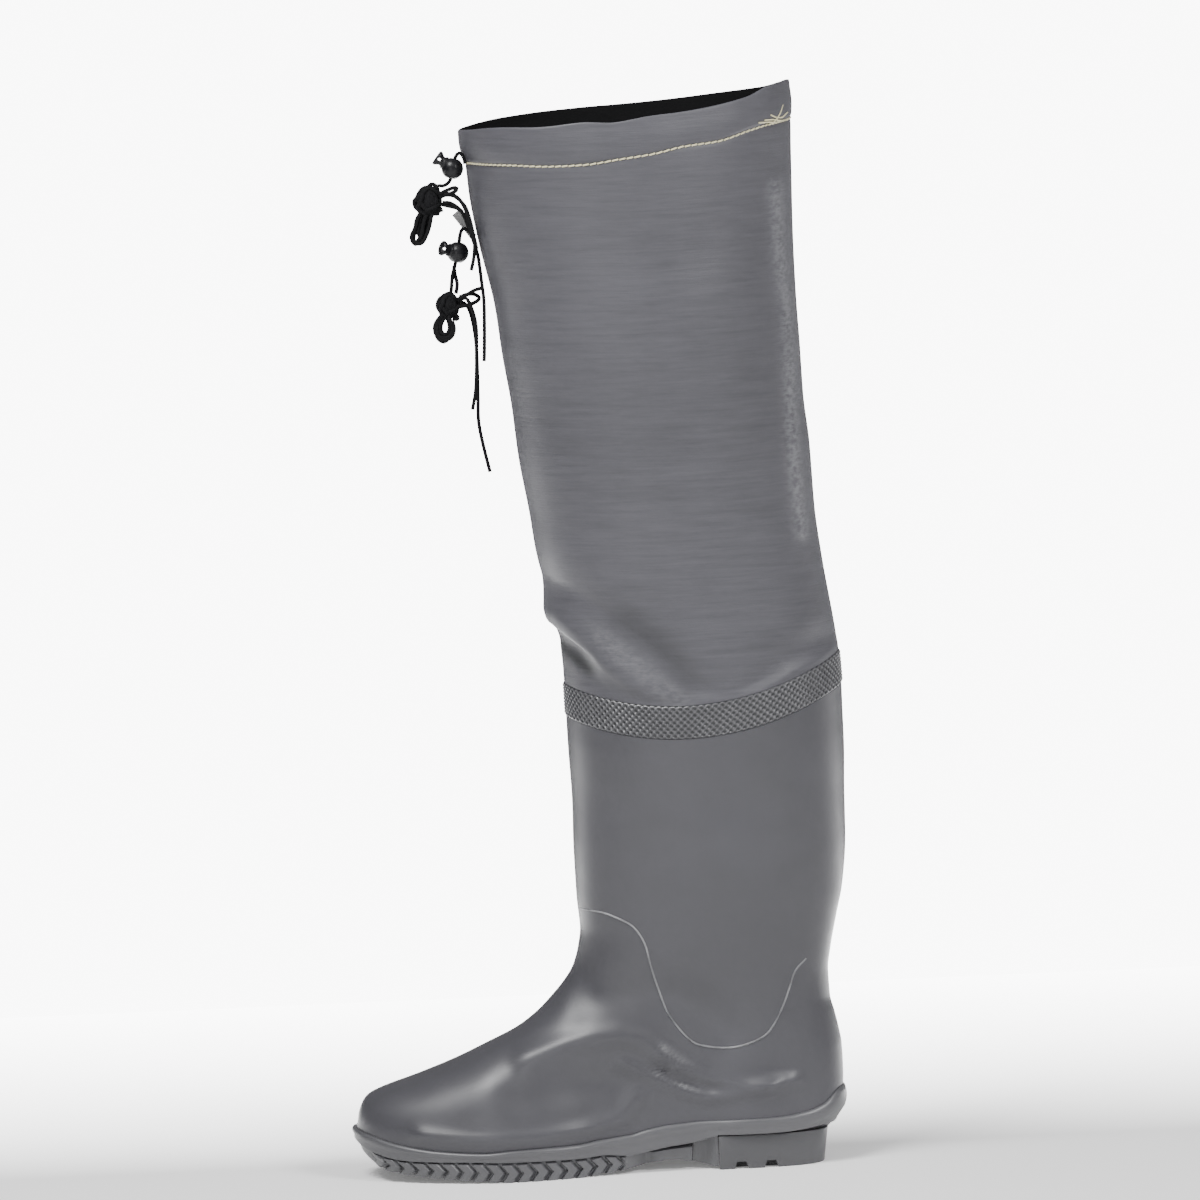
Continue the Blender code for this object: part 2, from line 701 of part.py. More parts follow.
def make_insole(finish):
    """A flat insole that follows the footbed, on the same stations as the bed below it."""
    along, _ = tread_stations()
    inset = BED_INSET + INSOLE_CLEARANCE
    bed_x, _, _ = outline(along, BED_INSET)
    insole_x, _, _ = outline(along, inset)
    bed = np.interp(insole_x, bed_x, sole_line("bed", along))
    rings = [
        sole_ring(along, inset, bed + GAP),
        sole_ring(along, inset, bed + GAP + INSOLE_THICKNESS),
    ]
    around = len(rings[0])
    faces = ring_faces(2, around)
    faces += strip_cap(0, around, flip=True) + strip_cap(around, around, flip=False)
    return add_mesh("insole", np.concatenate(rings), faces, finish)


def edge_ring(inset):
    """The upper's lower edge, which stands on the sole's ledge."""
    share = (1 - np.cos(around_angles())) / 2
    x, half, centre = outline(share, inset)
    return x, centre, half, rand_top(share) + GAP


def upper_rings():
    """Sections of the boot's outside, from the rand to the join band."""
    rings = [edge_ring(UPPER_INSET)]
    tips = np.array((0.248, 0.280, 0.320, 0.355, 0.385, 0.415, 0.459, 0.51, 0.57, 0.64, 0.72))
    rings += [foot_ring(tip * ANKLE_HEIGHT, 1 - ease((tip - 0.2) / 0.45)) for tip in tips]
    rings += [foot_ring(tip * ANKLE_HEIGHT, 0.0) for tip in (0.80, 0.87, 0.94)]
    low = 1.0 * ANKLE_HEIGHT

    def top(turn):
        return band_line(turn) - BAND_TALL / 2 - GAP

    for share in np.linspace(0, 1, 7):
        rings.append(leg_ring(lambda turn, s=share: low + s * (top(turn) - low)))
    return [closed_ring(*ring) for ring in rings]


def make_upper(finish):
    """The boot's moulded upper, open at the top and underneath."""
    outer = upper_rings()
    inner = offset_grid(outer, BOOT_WALL)
    inner[0] = closed_ring(*edge_ring(UPPER_INSET + BOOT_WALL))
    return add_tube_wall("upper", outer, inner, finish)


def make_band(finish):
    """The welded band that joins the shaft to the boot, a little proud of both."""
    outer, proud = [], []
    for share, rise in ((-1, 0), (-0.8, 1), (0.8, 1), (1, 0)):
        outer.append(
            closed_ring(*leg_ring(lambda turn, s=share: band_line(turn) + s * BAND_TALL / 2))
        )
        proud.append(-rise * BAND_RISE)
    wall = offset_grid(outer, np.full(len(outer), BOOT_WALL))
    return add_tube_wall("join_band", offset_grid(outer, proud), wall, finish)


def fold_rise(around, up):
    """How far the folds lift or sink the shaft's surface at a place."""
    total = np.zeros_like(around)
    girth = (THIGH_DEPTH + THIGH_WIDTH) * math.pi / 4
    tall = RIM_HEIGHT - BAND_HEIGHT
    for a0, u0, a1, u1, rise, reach in FOLD_ROWS:
        start, end = np.array((a0 * girth, u0 * tall)), np.array((a1 * girth, u1 * tall))
        place = np.stack([around * girth, up * tall], axis=-1)
        t = np.clip(((place - start) @ (end - start)) / ((end - start) @ (end - start)), 0, 1)
        away = np.linalg.norm(place - start - t[..., None] * (end - start), axis=-1)
        total += rise * np.exp(-((away / reach) ** 2)) * (1 - 0.5 * t)
    return total


def shaft_rings():
    """Sections of the shaft's outside, from the band to the rim, and how far each stands proud."""
    shares = [0.0, 0.03, 0.06, 0.09, 0.125, 0.17, 0.26, 0.40, 0.56, 0.73, 0.88]
    rings = []

    def bottom(turn):
        return band_line(turn) + BAND_TALL / 2 + GAP

    def hem(turn):
        return rim_line(turn) - HEM_TALL

    for share in shares:
        rings.append(leg_ring(lambda turn, s=share: bottom(turn) + s * (hem(turn) - bottom(turn))))
    rings.append(leg_ring(lambda turn: hem(turn) - 0.001))
    rings.append(leg_ring(lambda turn: hem(turn) + 0.0005))
    rings.append(leg_ring(lambda turn: rim_line(turn) - 0.0015))
    rings.append(leg_ring(rim_line))
    rises = [0.0] * (len(shares) + 1) + [HEM_RISE] * 2 + [0.4 * HEM_RISE]
    return [closed_ring(*ring) for ring in rings], rises


def make_shaft(finish):
    """The coated fabric shaft with its doubled hem, open at both ends."""
    plain, rises = shaft_rings()
    turn = around_angles() / math.pi
    around = np.concatenate([turn, -turn[-2:0:-1]])
    low, high = np.array(plain[0])[:, 2], np.array(plain[-1])[:, 2]
    folds = []
    for ring in plain:
        up = (ring[:, 2] - low) / (high - low)
        folds.append(fold_rise(around, up) * ease(up / 0.03))
    moved = offset_grid(plain, 1.0) - np.array(plain)
    middle = np.array(plain) - moved * np.array(folds)[:, :, None]
    outer = offset_grid(middle, -np.array(rises))
    inner = offset_grid(middle, SHAFT_WALL)
    return add_tube_wall("shaft", outer, inner, finish)


def leg_surface_x(y, z):
    """x of the leg's front surface at a distance y beside the middle."""
    front, back = front_x(z), back_x(z)
    return front + (back - front) * (1 - math.sqrt(1 - (y / leg_half(z)) ** 2)) / 2


def make_tab(finish):
    """A short fabric tab sewn to the front of the shaft, pointing up and forwards."""
    clear = GAP + SEAM_THICKNESS
    low, high = TAB_HEIGHT - 0.55 * TAB_WIDTH, TAB_HEIGHT + 0.55 * TAB_WIDTH
    root_low = (leg_surface_x(0, low) - clear, low)
    root_high = (leg_surface_x(0, high) - clear, high)
    way = Vector((-0.58, 0.815)).normalized()
    tip_low = (root_low[0] + way.x * TAB_LENGTH, root_low[1] + way.y * TAB_LENGTH)
    tip_high = (tip_low[0] + 0.75 * TAB_WIDTH, tip_low[1] + 0.6 * TAB_WIDTH)
    loop = [root_low, root_high, tip_high, tip_low]
    points = [(x, y, z) for y in (-TAB_THICKNESS / 2, TAB_THICKNESS / 2) for x, z in loop]
    faces = [(0, 1, 2, 3), (7, 6, 5, 4), (0, 4, 5, 1), (1, 5, 6, 2), (2, 6, 7, 3), (3, 7, 4, 0)]
    return add_mesh("tab", points, faces, finish)


def turned(name, profile, steps, finish):
    """A solid of revolution about its own z axis from rows of radius and height, closed at both ends."""
    points, faces = [], []
    for radius, z in profile:
        for i in range(steps):
            turn = 2 * math.pi * i / steps
            points.append((radius * math.cos(turn), radius * math.sin(turn), z))
    faces += ring_faces(len(profile), steps)
    faces += [tuple(reversed(range(steps))), tuple(range((len(profile) - 1) * steps, len(points)))]
    return add_mesh(name, points, faces, finish)


def place_along(obj, origin, way):
    """Moves a turned object so that its z axis points along a direction from an origin."""
    turn = Vector(way).normalized().to_track_quat("Z", "Y").to_matrix().to_4x4()
    obj.matrix_world = Matrix.Translation(Vector(origin)) @ turn


def make_lock(side, finish):
    """A ball cord lock: a ball with a bore for the cord and a socket that holds its plunger."""
    spec = LOCKS[side]
    radius = BALL_DIAMETER / 2
    turns = np.linspace(0.22, math.pi - 0.22, 8)
    ball = turned(
        f"lock_ball_{side}", [(radius * math.sin(t), -radius * math.cos(t)) for t in turns], 14, finish
    )
    place_along(ball, spec["ball"], spec["cord_way"])
    bore = turned(
        f"bore_cutter_{side}", [(BORE_DIAMETER / 2, -radius - 0.002), (BORE_DIAMETER / 2, radius + 0.002)],
        12, finish,
    )
    place_along(bore, spec["ball"], spec["cord_way"])
    cut(ball, bore)
    floor = radius - SOCKET_DEPTH
    socket = turned(
        f"socket_cutter_{side}", [(SOCKET_DIAMETER / 2, floor), (SOCKET_DIAMETER / 2, radius + 0.002)],
        14, finish,
    )
    place_along(socket, spec["ball"], spec["plunger_way"])
    cut(ball, socket)
    stem = SOCKET_DIAMETER / 2 - GAP
    flare = PLUNGER_FLARE / 2
    start = floor + GAP
    length = PLUNGER_LENGTH
    profile = [
        (stem, start),
        (stem, start + 0.30 * length),
        (0.85 * stem, start + 0.45 * length),
        (0.95 * stem, start + 0.65 * length),
        (flare, start + 0.88 * length),
        (0.9 * flare, start + length),
    ]
    plunger = turned(f"lock_plunger_{side}", profile, 14, finish)
    place_along(plunger, spec["ball"], spec["plunger_way"])


def make_knot(side, finish):
    """The bundle of a knot as one rounded solid."""
    spec = KNOTS[side]
    turns = np.linspace(0.3, math.pi - 0.3, 7)
    knot = turned(f"knot_{side}", [(math.sin(t), -math.cos(t)) for t in turns], 12, finish)
    for vertex in knot.data.vertices:
        vertex.co = Vector(spec["centre"]) + Vector([c * h for c, h in zip(vertex.co, spec["half"])])


def knot_port(side, way, away):
    """The place where a cord end meets a knot, and how far away from its surface it stops."""
    spec = KNOTS[side]
    way = Vector(way).normalized()
    reach = 1 / math.sqrt(sum((w / h) ** 2 for w, h in zip(way, spec["half"])))
    return Vector(spec["centre"]) + way * (reach + away)


def cord_route(spec):
    """The hand-chosen points of a cord with its ends at the knots."""
    points = [Vector(p) for p in spec["points"]]
    if "start" in spec:
        points = [knot_port(*spec["start"], 0.0006), knot_port(*spec["start"], 0.0026)] + points
    if "end" in spec:
        points += [knot_port(*spec["end"], 0.0026), knot_port(*spec["end"], 0.0006)]
    return points


def smooth_route(points, spacing):
    """Points read at even spacing from a smooth curve through a route."""
    ends = [2 * points[0] - points[1]] + points + [2 * points[-1] - points[-2]]
    fine = []
    for i in range(1, len(ends) - 2):
        a, b, c, d = ends[i - 1 : i + 3]
        for t in np.linspace(0, 1, 12, endpoint=False):
            fine.append(
                0.5 * (2 * b + (c - a) * t + (2 * a - 5 * b + 4 * c - d) * t**2
                       + (3 * b - a - 3 * c + d) * t**3)
            )
    fine.append(points[-1])
    lengths = np.concatenate([[0], np.cumsum([(q - p).length for p, q in zip(fine, fine[1:])])])
    count = max(4, round(lengths[-1] / spacing) + 1)
    wanted = np.linspace(0, lengths[-1], count)
    return np.stack([np.interp(wanted, lengths, [p[axis] for p in fine]) for axis in range(3)], axis=1)


def make_cord(name, spec, finish):
    """A free cord as a round tube along its route."""
    points = smooth_route(cord_route(spec), 2.4 * CORD_DIAMETER)
    curve = bpy.data.curves.new(name, "CURVE")
    curve.dimensions = "3D"
    curve.bevel_depth = CORD_DIAMETER / 2
    curve.bevel_resolution = 2
    curve.use_fill_caps = True
    spline = curve.splines.new("POLY")
    spline.points.add(len(points) - 1)
    for place, point in zip(spline.points, points):
        place.co = (*point, 1)
    curve.materials.append(finish)
    bpy.context.scene.collection.objects.link(bpy.data.objects.new(name, curve))


def main():
    for obj in list(bpy.data.objects):
        bpy.data.objects.remove(obj)
    make_sole(material("rubber_sole", (0.14, 0.14, 0.15), 0.5))
    make_heel(material("rubber_heel", (0.14, 0.14, 0.15), 0.5))
    make_insole(material("felt_insole", (0.02, 0.02, 0.02), 0.95))
    make_upper(material("moulded_upper", (0.15, 0.15, 0.17), 0.38))
    make_band(material("embossed_band", (0.13, 0.13, 0.14), 0.45))
    make_shaft(material("coated_fabric", (0.14, 0.14, 0.15), 0.55))
    make_tab(material("tab_fabric", (0.26, 0.26, 0.26), 0.8))
    black = material("black_plastic", (0.012, 0.012, 0.013), 0.4)
    cord = material("black_cord", (0.012, 0.012, 0.013), 0.85)
    for side in LOCKS:
        make_lock(side, black)
        make_knot(side, cord)
    for name, spec in CORDS.items():
        make_cord(name, spec, cord)


main()
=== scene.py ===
"""Looks of the hip wader: the left boot's surfaces, creases, tread, stitching and cords.

Metres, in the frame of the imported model. The toe points to -X and the outer side (-Y) faces the camera.
"""

import math

import bmesh
import bpy
import numpy as np
from mathutils import Matrix, Vector
from mathutils.bvhtree import BVHTree


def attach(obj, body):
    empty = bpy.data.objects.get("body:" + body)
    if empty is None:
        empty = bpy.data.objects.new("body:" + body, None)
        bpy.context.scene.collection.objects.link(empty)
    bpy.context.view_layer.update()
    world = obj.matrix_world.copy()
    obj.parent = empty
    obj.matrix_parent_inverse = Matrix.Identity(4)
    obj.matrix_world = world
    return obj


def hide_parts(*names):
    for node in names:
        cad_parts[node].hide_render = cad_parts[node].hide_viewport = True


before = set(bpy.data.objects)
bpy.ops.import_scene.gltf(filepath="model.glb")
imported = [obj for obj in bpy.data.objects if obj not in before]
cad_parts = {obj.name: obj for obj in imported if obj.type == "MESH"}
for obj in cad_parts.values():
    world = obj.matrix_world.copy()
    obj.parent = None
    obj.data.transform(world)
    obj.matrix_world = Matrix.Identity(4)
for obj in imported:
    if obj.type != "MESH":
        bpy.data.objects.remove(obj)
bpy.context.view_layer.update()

# Foot and sole, the same sizes as the solids
FOOT_LENGTH = 0.3041
HEEL_RIM_X = 0.1479
BALL_WIDTH = 0.102
HEEL_WIDTH = 0.070
HEEL_HEIGHT = 0.021
SOLE_THICKNESS = 0.020
RAND_BULGE = 0.0012
LEDGE_WIDTH = 0.006
BED_INSET = 0.0072
STEP_DEPTH = 0.0022
SIDE_SLOPE = 0.0022
ARCH_INSET = 0.008
HEEL_TUCK = 0.0058
LUG_PITCH = 0.0092
LUG_FLAT = 0.0056
LUG_DEPTH = 0.0024
HEEL_BLOCK_LENGTH = 0.0675
HEEL_BLOCK_WIDTH = 0.062
HEEL_BACK_STEP = 0.0125
HEEL_RAKE = 0.0029
BREAST_HOLLOW = 0.006
NOTCH_WIDTH = 0.0097
NOTCH_TOP_WIDTH = 0.0056
NOTCH_HEIGHT = 0.0045
NOTCH_DEPTH = 0.009
NOTCH_PLACES = (0.20, 0.47)
EDGE_BEVEL = 0.0006
HEEL_ROUNDNESS = (0.7, 0.55)
BREAST_SPAN = 0.94
STEP_LENGTH = 0.0007
LUG_SOFTNESS = 0.10

# Boot, band and shaft
ANKLE_HEIGHT = 0.137
ANKLE_WIDTH = 0.084
CALF_DEPTH = 0.1686
CALF_WIDTH = 0.114
THIGH_DEPTH = 0.200
THIGH_WIDTH = 0.150
LEG_SETBACK = 0.0776
THIGH_LEAN = 0.0325
BAND_HEIGHT = 0.297
BAND_SLOPE = 0.013
BAND_DIP = 0.0175
BAND_TALL = 0.020
BAND_RISE = 0.0006
RIM_HEIGHT = 0.649
RIM_SLOPE = 0.018
RIM_SAG = 0.004
RIM_CORNER = 0.0036
HEM_RISE = 0.0009
BOOT_WALL = 0.0025
SHAFT_WALL = 0.0012
UPPER_INSET = 0.0025

# Fine detail
KNURL_PITCH = 0.0043
KNURL_TALL = 0.0041
KNURL_RISE = 0.0010
WIRE_EDGE = (0.16, 0.42)
WIRE_STRENGTHS = ((1, 0.62), (-1, 0.48))
BAND_EDGE = 0.07
RIB_SHOW = 0.0026
RIB_BEND = 0.0046
WAIST_LEDGE = 0.004
ANKLE_LINE_WIDTH = 0.0015
ANKLE_LINE_RISE = 0.0008
STITCH_LENGTH = 0.0032
STITCH_STEP = 0.0040
THREAD_WIDTH = 0.0011
KNOT_TURNS = 9
CORD_DIAMETER = 0.0023
CORD_STEP = 0.0016
STRAND_STEP = 0.0012
PORT_GAP = 0.0006
PORT_LEAD = 0.0026
BALL_DIAMETER = 0.0132
BORE_DIAMETER = 0.0044
SOCKET_DIAMETER = 0.0068
SOCKET_DEPTH = 0.0026
PLUNGER_LENGTH = 0.0078
PLUNGER_FLARE = 0.0094
PLUNGER_HOLE = 0.0020
TAB_WIDTH = 0.0062
TAB_LENGTH = 0.0265
TAB_THICKNESS = 0.0013
TAB_HEIGHT = 0.5705
GAP = 0.0003

# Slow rise and fall of soft surfaces: size of the waves and their rise
BOOT_SWELL = (0.05, 0.0005)
SHAFT_SWELL = (0.06, 0.0007)
HEM_SWELL = (0.013, 0.0003)

# How far a ridge of one side takes to fade out across the middle
SIDE_BLEND = 0.016

TOE_X = HEEL_RIM_X - FOOT_LENGTH
CALF_X = HEEL_RIM_X - LEG_SETBACK
THIGH_X = CALF_X - THIGH_LEAN
HEEL_FRONT = 1 - (HEEL_BACK_STEP + HEEL_BLOCK_LENGTH) / FOOT_LENGTH
HEEL_BLOCK_X = HEEL_RIM_X - HEEL_BACK_STEP - HEEL_BLOCK_LENGTH

# Stretches of the sole as shares of FOOT_LENGTH: where each starts, its soft start, its end and its soft end
LUGS = (0.082, 0.004, 0.545, 0.004)
RIBS = (0.02, 0.04, 0.553, 0.010)
ARCH = (0.55, 0.06, HEEL_FRONT, 0.03)
SHANK = (0.595, 0.03, 0.702, 0.010)
TUCK = (0.86, 0.13)
FINE_ROWS = (0.075, 0.56)

# Heights at which forms fade in, as a start and a length: shares of ANKLE_HEIGHT for the foot, and of the
# shaft's own height for its relief, its swell and the swell of its hem
FOOT_TO_LEG = (0.40, 0.58)
SOLE_TO_LEVEL = (0.2, 0.45)
SHAFT_RELIEF_FADE = (0.0, 0.02)
SHAFT_SWELL_FADE = (0.0, 0.05)
HEM_SWELL_FADE = (0.88, 0.1)
INSTEP_ROUNDNESS = 2.3

# Points round half of each piece, rows up it, and the sections of the foot: from, to and how many
BOOT_POINTS = 92
BAND_POINTS = 420
SHAFT_POINTS = 142
CALF_LEVELS = 54
SHAFT_LEVELS = 130
SHAFT_CROWDING = 1.5
FOOT_SECTIONS = ((0.236, 0.30, 7), (0.30, 0.46, 20), (0.46, 0.985, 44))

# Camera: the photograph's view of the boot
VIEW_ELEVATION = 6.5
VIEW_ROLL = -2.5
VIEW_DISTANCE = 8.0
VIEW_WIDTH = 0.732
VIEW_CENTRE = (0.0099, 0.0, 0.3496)
SENSOR_WIDTH = 36.0

# Studio: strengths of the white background and of the dim world from left to right, and the floor's depth
BACKGROUND = 9.0
WORLD_SIDES = (0.12, 0.42)
FLOOR_FADE = 0.05
FLOOR_END = 0.75
FLOOR_HALF = 1.6
FLOOR_FRONT = -2.6
CARD_EDGE = 9.0
CARD_MIDDLE = 4.5

# Soft square lights: name, place, what each points at, size in metres and power in watts
LIGHTS = (
    ("key", (1.8, -1.9, 1.9), (0.0, 0.0, 0.3), 0.9, 66),
    ("fill", (-1.0, -2.8, 0.8), (0.0, 0.0, 0.3), 1.0, 13),
    ("top", (-0.9, -1.0, 2.2), (-0.10, 0.0, 0.05), 0.9, 70),
)

# Moulded finishes: the darker and the lighter tone, roughness and weight of the glossy coat
# One rubber for sole and heel block: the sole's lighter tones are painted light on its ribs, the heel's
# darker ones painted shade.
MOULDED = {
    "boot": ((0.045, 0.0445, 0.051), (0.054, 0.0535, 0.062), 0.42, 0.25),
    "sole": ((0.064, 0.064, 0.069), (0.080, 0.080, 0.086), 0.38, 0.35),
    "heel": ((0.046, 0.046, 0.050), (0.056, 0.056, 0.061), 0.40, 0.30),
}

# Sole lines. along: share of FOOT_LENGTH from the toe. tread: share of HEEL_HEIGHT above the floor.
# foot, top and bed of the rand: shares of SOLE_THICKNESS above the tread.
SOLE_COLUMNS = ("along", "tread", "foot", "top", "bed")
SOLE_ROWS = (
    (0.000, 0.810, 0.350, 0.700, 0.500),
    (0.020, 0.595, 0.375, 0.825, 0.700),
    (0.041, 0.420, 0.435, 0.925, 0.835),
    (0.084, 0.286, 0.425, 0.890, 0.815),
    (0.164, 0.157, 0.510, 0.845, 0.775),
    (0.254, 0.057, 0.600, 0.870, 0.805),
    (0.325, 0.000, 0.620, 0.980, 0.910),
    (0.450, 0.000, 0.590, 1.020, 0.950),
    (0.503, 0.067, 0.570, 1.050, 0.980),
    (0.563, 0.162, 0.420, 1.040, 0.970),
    (0.600, 0.235, 0.440, 1.100, 1.030),
    (0.650, 0.315, 0.475, 1.120, 1.050),
    (0.696, 0.240, 0.650, 1.248, 1.178),
    (HEEL_FRONT, 0.080, 0.950, 1.432, 1.362),
    (HEEL_FRONT + STEP_LENGTH, 1.000, 0.020, 0.465, 0.395),
    (0.780, 1.000, 0.020, 0.475, 0.405),
    (0.863, 1.000, 0.030, 0.500, 0.410),
    (0.926, 1.000, 0.060, 0.620, 0.415),
    (0.959, 1.000, 0.090, 0.785, 0.420),
    (0.993, 1.000, 0.120, 1.180, 0.425),
    (1.000, 1.000, 0.125, 1.200, 0.425),
)

# Outline of the sole. ball and heel: fullness as shares of BALL_WIDTH and HEEL_WIDTH. bend: centre line.
OUTLINE_COLUMNS = ("along", "ball", "heel", "bend")
OUTLINE_ROWS = (
    (0.00, 0.700, 0.000, 0.085),
    (0.05, 0.672, 0.000, 0.078),
    (0.12, 0.635, 0.000, 0.062),
    (0.20, 0.594, 0.000, 0.040),
    (0.31, 0.541, 0.000, 0.010),
    (0.45, 0.426, 0.000, 0.004),
    (0.60, 0.200, 0.245, 0.018),
    (0.75, 0.000, 0.578, 0.012),
    (0.85, 0.000, 0.690, 0.000),
    (0.93, 0.000, 0.800, 0.000),
    (1.00, 0.000, 0.955, 0.000),
)

# Rand's rounded side. inset: share of RAND_BULGE. drop: share of the way from its top to its foot.
RAND_ROWS = (
    (2.05, -0.03),
    (1.50, -0.035),
    (0.80, 0.00),
    (0.25, 0.11),
    (0.00, 0.23),
    (0.10, 0.35),
    (0.55, 0.47),
    (0.90, 0.58),
    (1.00, 0.75),
    (0.95, 0.90),
    (1.10, 0.97),
    (1.60, 1.00),
)

# Top line of the foot: height as a share of ANKLE_HEIGHT, back as a share of FOOT_LENGTH.
TOP_LINE_ROWS = (
    (0.190, 0.9923),
    (0.251, 0.9874),
    (0.289, 0.9840),
    (0.340, 0.9745),
    (0.367, 0.9640),
    (0.390, 0.9450),
    (0.455, 0.8629),
    (0.523, 0.7850),
    (0.588, 0.7215),
    (0.654, 0.6590),
    (0.723, 0.6160),
    (0.788, 0.5870),
    (0.861, 0.5605),
    (0.927, 0.5420),
    (1.000, 0.5300),
)

# Half width of the leg up to the ankle: share of ANKLE_HEIGHT and share of ANKLE_WIDTH.
ANKLE_ROWS = (
    (0.0, 0.46),
    (0.7, 0.48),
    (1.0, 0.50),
)

# Back line of the heel: height as a share of ANKLE_HEIGHT, inset as a share of HEEL_WIDTH.
HEEL_LINE_ROWS = (
    (0.190, 0.0360),
    (0.327, 0.0290),
    (0.445, 0.0257),
    (0.518, 0.0286),
    (0.591, 0.0486),
    (0.664, 0.0770),
    (0.737, 0.1080),
    (0.847, 0.1130),
    (0.950, 0.0830),
)

# Calf: rise from ANKLE_HEIGHT to BAND_HEIGHT, front and back of CALF_DEPTH, half of CALF_WIDTH.
CALF_ROWS = (
    (0.08, 0.4820, 0.4510, 0.3816),
    (0.20, 0.4875, 0.4765, 0.4035),
    (0.39, 0.4880, 0.4950, 0.4386),
    (0.57, 0.4905, 0.4985, 0.4650),
    (0.76, 0.4970, 0.5040, 0.4870),
    (0.94, 0.5000, 0.5030, 0.5000),
)

# Shaft: rise from BAND_HEIGHT to RIM_HEIGHT, front and back of THIGH_DEPTH, half of THIGH_WIDTH.
SHAFT_ROWS = (
    (0.024, 0.261, 0.5835, 0.385),
    (0.080, 0.272, 0.5765, 0.392),
    (0.109, 0.288, 0.5695, 0.396),
    (0.143, 0.300, 0.5600, 0.400),
    (0.208, 0.322, 0.5430, 0.410),
    (0.298, 0.339, 0.5260, 0.423),
    (0.409, 0.369, 0.5195, 0.440),
    (0.496, 0.383, 0.5065, 0.453),
    (0.584, 0.405, 0.5030, 0.467),
    (0.669, 0.422, 0.4985, 0.477),
    (0.782, 0.463, 0.4980, 0.487),
    (0.864, 0.484, 0.4985, 0.493),
    (0.920, 0.491, 0.4990, 0.497),
    (0.977, 0.505, 0.5005, 0.500),
    (1.037, 0.505, 0.4980, 0.500),
)

# Soft ridges (rise above zero) and troughs (below) of the boot and the shaft. side is -1 on the outer
# side, 1 on the inner side and 0 on both. Each line runs through places (x, z), seen from the side.
BOOT_RELIEF = (
    (0, 0.0028, 0.0068, ((-0.048, 0.073), (-0.029, 0.079), (-0.006, 0.085), (0.010, 0.086), (0.025, 0.082),
                         (0.035, 0.073), (0.044, 0.065))),
    (-1, 0.0026, 0.0053, ((0.035, 0.073), (0.044, 0.065), (0.059, 0.057), (0.079, 0.052), (0.114, 0.053))),
    (-1, 0.0029, 0.0047, ((0.012, 0.068), (0.034, 0.057), (0.048, 0.050), (0.062, 0.045), (0.102, 0.050))),
    (-1, -0.0020, 0.0046, ((0.033, 0.064), (0.045, 0.057), (0.061, 0.051), (0.083, 0.049))),
    (0, -0.0044, 0.0150, ((-0.003, 0.111), (0.021, 0.111), (0.044, 0.108), (0.064, 0.098), (0.075, 0.086))),
    (0, 0.0030, 0.0062, ((-0.113, 0.028), (-0.083, 0.025), (-0.041, 0.025), (-0.010, 0.029), (0.010, 0.036),
                         (0.019, 0.047))),
    (0, -0.0024, 0.0120, ((-0.055, 0.052), (-0.030, 0.056), (0.005, 0.058))),
    (0, -0.0012, 0.0160, ((0.050, 0.235), (0.090, 0.228))),
    (0, 0.0011, 0.0200, ((0.000, 0.200), (0.010, 0.165))),
)
SEAM_RIDGE = (0, 0.0012, 0.0050, ((0.127, 0.600), (0.128, 0.558), (0.131, 0.528), (0.131, 0.439),
                                  (0.134, 0.390)))
SHAFT_RELIEF = (
    (-1, -0.0020, 0.0100, ((0.141, 0.321), (0.118, 0.313), (0.099, 0.294))),
    (-1, 0.0016, 0.0090, ((0.150, 0.308), (0.130, 0.301), (0.115, 0.294))),
    SEAM_RIDGE,
    (0, -0.0012, 0.0140, ((0.030, 0.560), (0.080, 0.565))),
    (1, 0.0026, 0.0090, ((0.005, 0.326), (0.030, 0.316), (0.055, 0.300))),
    (1, -0.0022, 0.0100, ((0.020, 0.342), (0.050, 0.333), (0.080, 0.308))),
)

# Fold above the band, along the line where the fabric laps over. Columns of FOLD_ROWS: distance behind the
# line, rise of the sharp fold near the front and rise of the softer fold further back.
FOLD_LINE = ((-0.045, 0.345), (-0.030, 0.342), (-0.019, 0.337), (-0.008, 0.329), (0.004, 0.320),
             (0.014, 0.312), (0.026, 0.302), (0.038, 0.292), (0.052, 0.279))
FOLD_ROWS = (
    (-0.022, 0.0000, 0.0000),
    (-0.012, -0.0010, -0.0004),
    (-0.004, -0.0028, 0.0012),
    (-0.001, -0.0024, 0.0026),
    (0.001, 0.0012, 0.0032),
    (0.003, 0.0032, 0.0034),
    (0.007, 0.0036, 0.0028),
    (0.013, 0.0014, 0.0002),
    (0.019, -0.0012, -0.0026),
    (0.025, -0.0026, -0.0034),
    (0.032, -0.0016, -0.0018),
    (0.042, -0.0004, -0.0002),
    (0.050, 0.0000, 0.0000),
)

# Places and lengths where the fold passes from sharp to soft, starts above the band and starts behind the
# front. Then how far it takes to fade across, and its shares on the inner side and at the front.
FOLD_SOFTENS = (-0.008, 0.020)
FOLD_STARTS_UP = (0.285, 0.02)
FOLD_STARTS_BACK = (-0.048, 0.03)
FOLD_ACROSS = 0.03
FOLD_INNER_SHARE = 0.35
FOLD_FRONT_SHARE = 0.55

# Painted highlight on the fold's crest and painted shade in its hollows and under its lip, as rows like
# those of the ridges: the rise is the strength
FOLD_GLOW = ((-1, 0.45, 0.0075, ((0.010, 0.331), (0.031, 0.313), (0.056, 0.290))),)
FOLD_SHADE = (
    (-1, 0.34, 0.0095, ((0.026, 0.343), (0.043, 0.330), (0.060, 0.306))),
    (0, 0.85, 0.0052, ((-0.020, 0.327), (-0.010, 0.319), (0.001, 0.312))),
)

